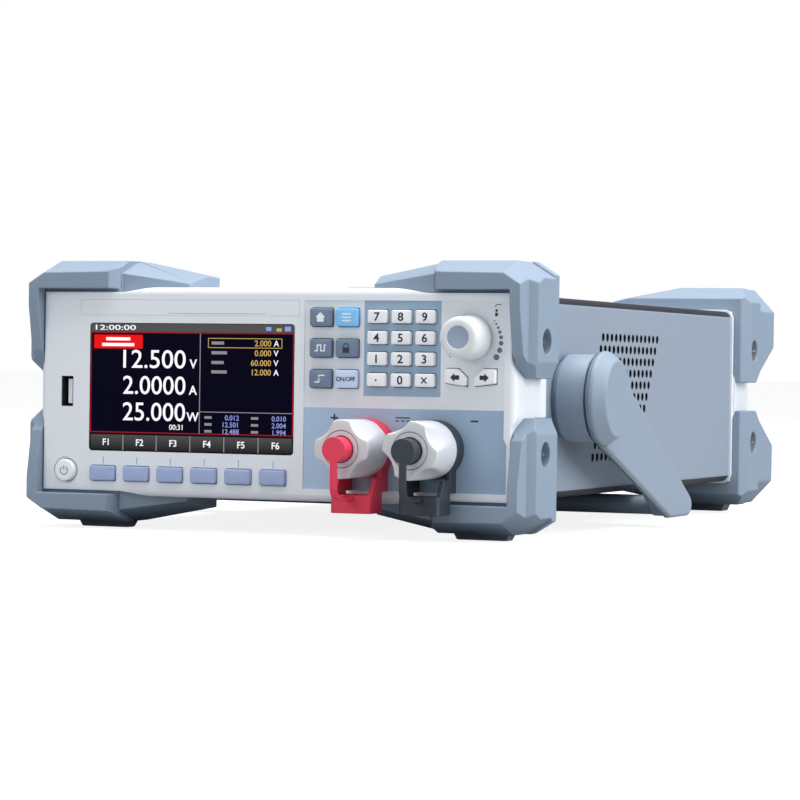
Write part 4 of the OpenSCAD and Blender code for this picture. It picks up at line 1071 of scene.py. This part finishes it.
SETTINGS = (("2.000", "A", 0.15), ("0.000", "V", 0.225), ("60.000", "V", 0.3), ("12.000", "A", 0.372))
for number, (value, unit, v) in enumerate(SETTINGS):
    figures(f"setting_{number}", value, 0.044, 0.888, v, lit_amber)
    figures(f"setting_unit_{number}", unit, 0.044, 0.9, v, lit_white, "LEFT")
    bar_end = 0.66 + 0.015 * (number % 2)
    show(f"setting_bar_{number}", [field(0.6, v - 0.012, bar_end, v + 0.012)], lit_grey)
show("setting_frame", outline(0.583, 0.112, 0.94, 0.188, 0.28 * MM), lit_amber)

RIPPLES = (("0.012", "0.010"), ("12.501", "2.004"), ("12.488", "1.994"))
RIPPLE_TOP, RIPPLE_ROW, RIPPLE_COLUMN = 0.724, 0.053, 0.225
for row, pair in enumerate(RIPPLES):
    v = RIPPLE_TOP + RIPPLE_ROW * row
    for column, value in enumerate(pair):
        u = RIPPLE_COLUMN * column
        figures(f"ripple_{row}_{column}", value, 0.038, 0.738 + u, v, lit_blue)
        show(f"ripple_bar_{row}_{column}", [field(0.57 + u, v - 0.01, 0.605 + u, v + 0.01)], lit_grey)
for number, (start, end) in enumerate(zip(tab_u[:-1], tab_u[1:]), 1):
    figures(f"tab_{number}", f"F{number}", 0.05, (start + end) / 2, 0.93, lit_white, "CENTER", bold=0.012)


# Printed lines and signs on the panel

FILM_SINK = 0.4 * MM


def on_panel(name, loops, material, sink=FILM_SINK):
    """Print on the film, or on the panel with no sink: loops in millimetres from the panel's middle."""
    moved = [np.asarray(loop) * MM + (0, MID_Z) for loop in loops]
    finished(plates(name, moved, FACE_Y + sink - PRINT_T), "case", material)


def block(x, z, half_w, half_h):
    """Rectangle round a middle."""
    return bar(x - half_w, z - half_h, x + half_w, z + half_h)


TICK_Z, TICK_HALF_W, TICK_HALF_H = -29.4, 0.12, 1.5
tick_x = [middle_of(f"softkey_{number}")[0] / MM for number in range(1, 7)]
on_panel("softkey_ticks", [block(x, TICK_Z, TICK_HALF_W, TICK_HALF_H) for x in tick_x], grey_ink, 0)

PLUS_X, PLUS_Z = 29.35, -9.34
MINUS_X, MINUS_Z = 91.5, -9.66
SIGN_R, SIGN_T = 1.7, 0.36
STUB = (SIGN_R - SIGN_T) / 2
on_panel("plus_sign", [block(PLUS_X, PLUS_Z, SIGN_R, SIGN_T)]
         + [block(PLUS_X, PLUS_Z + way * (SIGN_T + STUB), SIGN_T, STUB) for way in (-1, 1)], ink_skin)
on_panel("minus_sign", [block(MINUS_X, MINUS_Z, SIGN_R, SIGN_T)], ink_skin)
DC_X, DC_Z = 60.0, -9.7
on_panel("direct_current_sign", [block(DC_X, DC_Z + 0.85, 3.2, 0.25)]
         + [block(DC_X + x, DC_Z - 0.45, 0.75, 0.25) for x in (-2.45, 0, 2.45)], ink_skin)

SCALE = ((99.55, 31.14), (100.39, 29.9), (101.23, 28.45), (101.95, 26.63), (102.5, 24.54), (102.54, 22.11),
         (101.98, 19.28), (100.6, 16.44))
SCALE_SIZES = np.linspace(0.32, 1.25, len(SCALE))
scale_dots = [dot(*place, radius) for place, radius in zip(SCALE, SCALE_SIZES)]
TINY_DOTS = [dot(79.65, 17.34, 0.3), dot(80.4, 16.41, 0.3)]
on_panel("knob_scale", scale_dots + TINY_DOTS, grey_ink)
PUSH_X, PUSH_Z = 100.4, 35.35
push_arc = stroke(arc(PUSH_X + 1.0, PUSH_Z + 0.6, 1.9, 150, 60, 12), 0.35)
push_button = [dot(PUSH_X, PUSH_Z, 0.55), block(PUSH_X, PUSH_Z - 1.6, 0.6, 0.7)]
on_panel("knob_push_sign", push_button + [push_arc], ink_skin)
STRIP_FRAME = frame_strokes(-89.7, 32.5, 13.0, 39.2, 0.14)
STRIP_LINE = bar(-48.1, 33.3, -2.5, 33.55)
on_panel("label_strip", STRIP_FRAME + [STRIP_LINE], pale_ink, 0)


# Camera, floor and light

CAMERA_AT = (0.531245, FACE_Y - 1.1322, MID_Z + 0.010037)
AZIMUTH, ELEVATION, ROLL = (math.radians(a) for a in (22.65, 0.54, 0.808))
LENS, SENSOR = 134.78, 36


def camera_pose():
    """Matrix whose columns are the camera's right, up and back directions and its place."""
    level = math.cos(ELEVATION)
    back = np.array([math.sin(AZIMUTH) * level, -math.cos(AZIMUTH) * level, math.sin(ELEVATION)])
    right = np.array([math.cos(AZIMUTH), math.sin(AZIMUTH), 0.0])
    up = np.cross(back, right)
    rolled_right = math.cos(ROLL) * right + math.sin(ROLL) * up
    rolled_up = math.cos(ROLL) * up - math.sin(ROLL) * right
    columns = np.column_stack([rolled_right, rolled_up, back, CAMERA_AT])
    return Matrix(np.vstack([columns, (0, 0, 0, 1)]).tolist())


lens = bpy.data.cameras.new("photo_camera")
lens.lens = LENS
lens.sensor_width = SENSOR
camera = placed("photo_camera", lens)
camera.matrix_world = camera_pose()
bpy.context.scene.camera = camera

FLOOR_R = 40.0
FLOOR_GLOW = 0.86


def floor_material():
    """White paper, which the camera sees brighter than it lights the object."""
    material = moulded("studio_floor", (0.35, 0.355, 0.36), gloss=0.7, bumps=400, depth=0.02 * MM, drift=0.01)
    tree = material.node_tree
    shader = tree.nodes["Principled BSDF"]
    path = add(tree, "ShaderNodeLightPath")
    glow = math_node(tree, "MULTIPLY", path.outputs["Is Camera Ray"], FLOOR_GLOW)
    tree.links.new(glow, shader.inputs["Emission Strength"])
    shader.inputs["Emission Color"].default_value = (1, 1, 1, 1)
    shader.inputs["Specular IOR Level"].default_value = 0.0
    return material


edge = np.array((-FLOOR_R, FLOOR_R))
floor_x, floor_y = np.meshgrid(edge, edge, indexing="ij")
floor = surface("floor", np.stack([floor_x, floor_y, np.zeros((2, 2))], axis=-1), closed=False)
floor.data.materials.append(floor_material())


def area_light(name, place, target, size, power):
    """Soft square lamp that faces its target."""
    lamp = bpy.data.lights.new(name, "AREA")
    lamp.size = size
    lamp.energy = power
    obj = placed(name, lamp)
    obj.location = place
    obj.rotation_mode = "QUATERNION"
    obj.rotation_quaternion = (Vector(target) - Vector(place)).to_track_quat("-Z", "Y")


MIDDLE = (0, 0, 0.06)
area_light("top_box", (0.1, 0.0, 1.6), MIDDLE, 1.6, 44)
area_light("right_box", (1.7, -0.1, 0.7), MIDDLE, 1.3, 26)
area_light("front_box", (-0.7, -1.9, 0.9), MIDDLE, 1.2, 10)


def studio_world():
    """Soft sky light, with a plain white backdrop where the camera looks past the object."""
    world = bpy.data.worlds.new("studio")
    world.use_nodes = True
    tree = world.node_tree
    sky = tree.nodes["Background"]
    sky.inputs["Color"].default_value = (0.93, 0.96, 1.0, 1)
    sky.inputs["Strength"].default_value = 0.3
    backdrop = add(tree, "ShaderNodeBackground")
    backdrop.inputs["Color"].default_value = (1, 1, 1, 1)
    path = add(tree, "ShaderNodeLightPath")
    choice = add(tree, "ShaderNodeMixShader")
    sources = (path.outputs["Is Camera Ray"], sky.outputs[0], backdrop.outputs[0])
    for source, socket in zip(sources, choice.inputs):
        tree.links.new(source, socket)
    tree.links.new(choice.outputs[0], tree.nodes["World Output"].inputs[0])
    return world


bpy.context.scene.world = studio_world()
bpy.context.scene.view_settings.view_transform = "Standard"
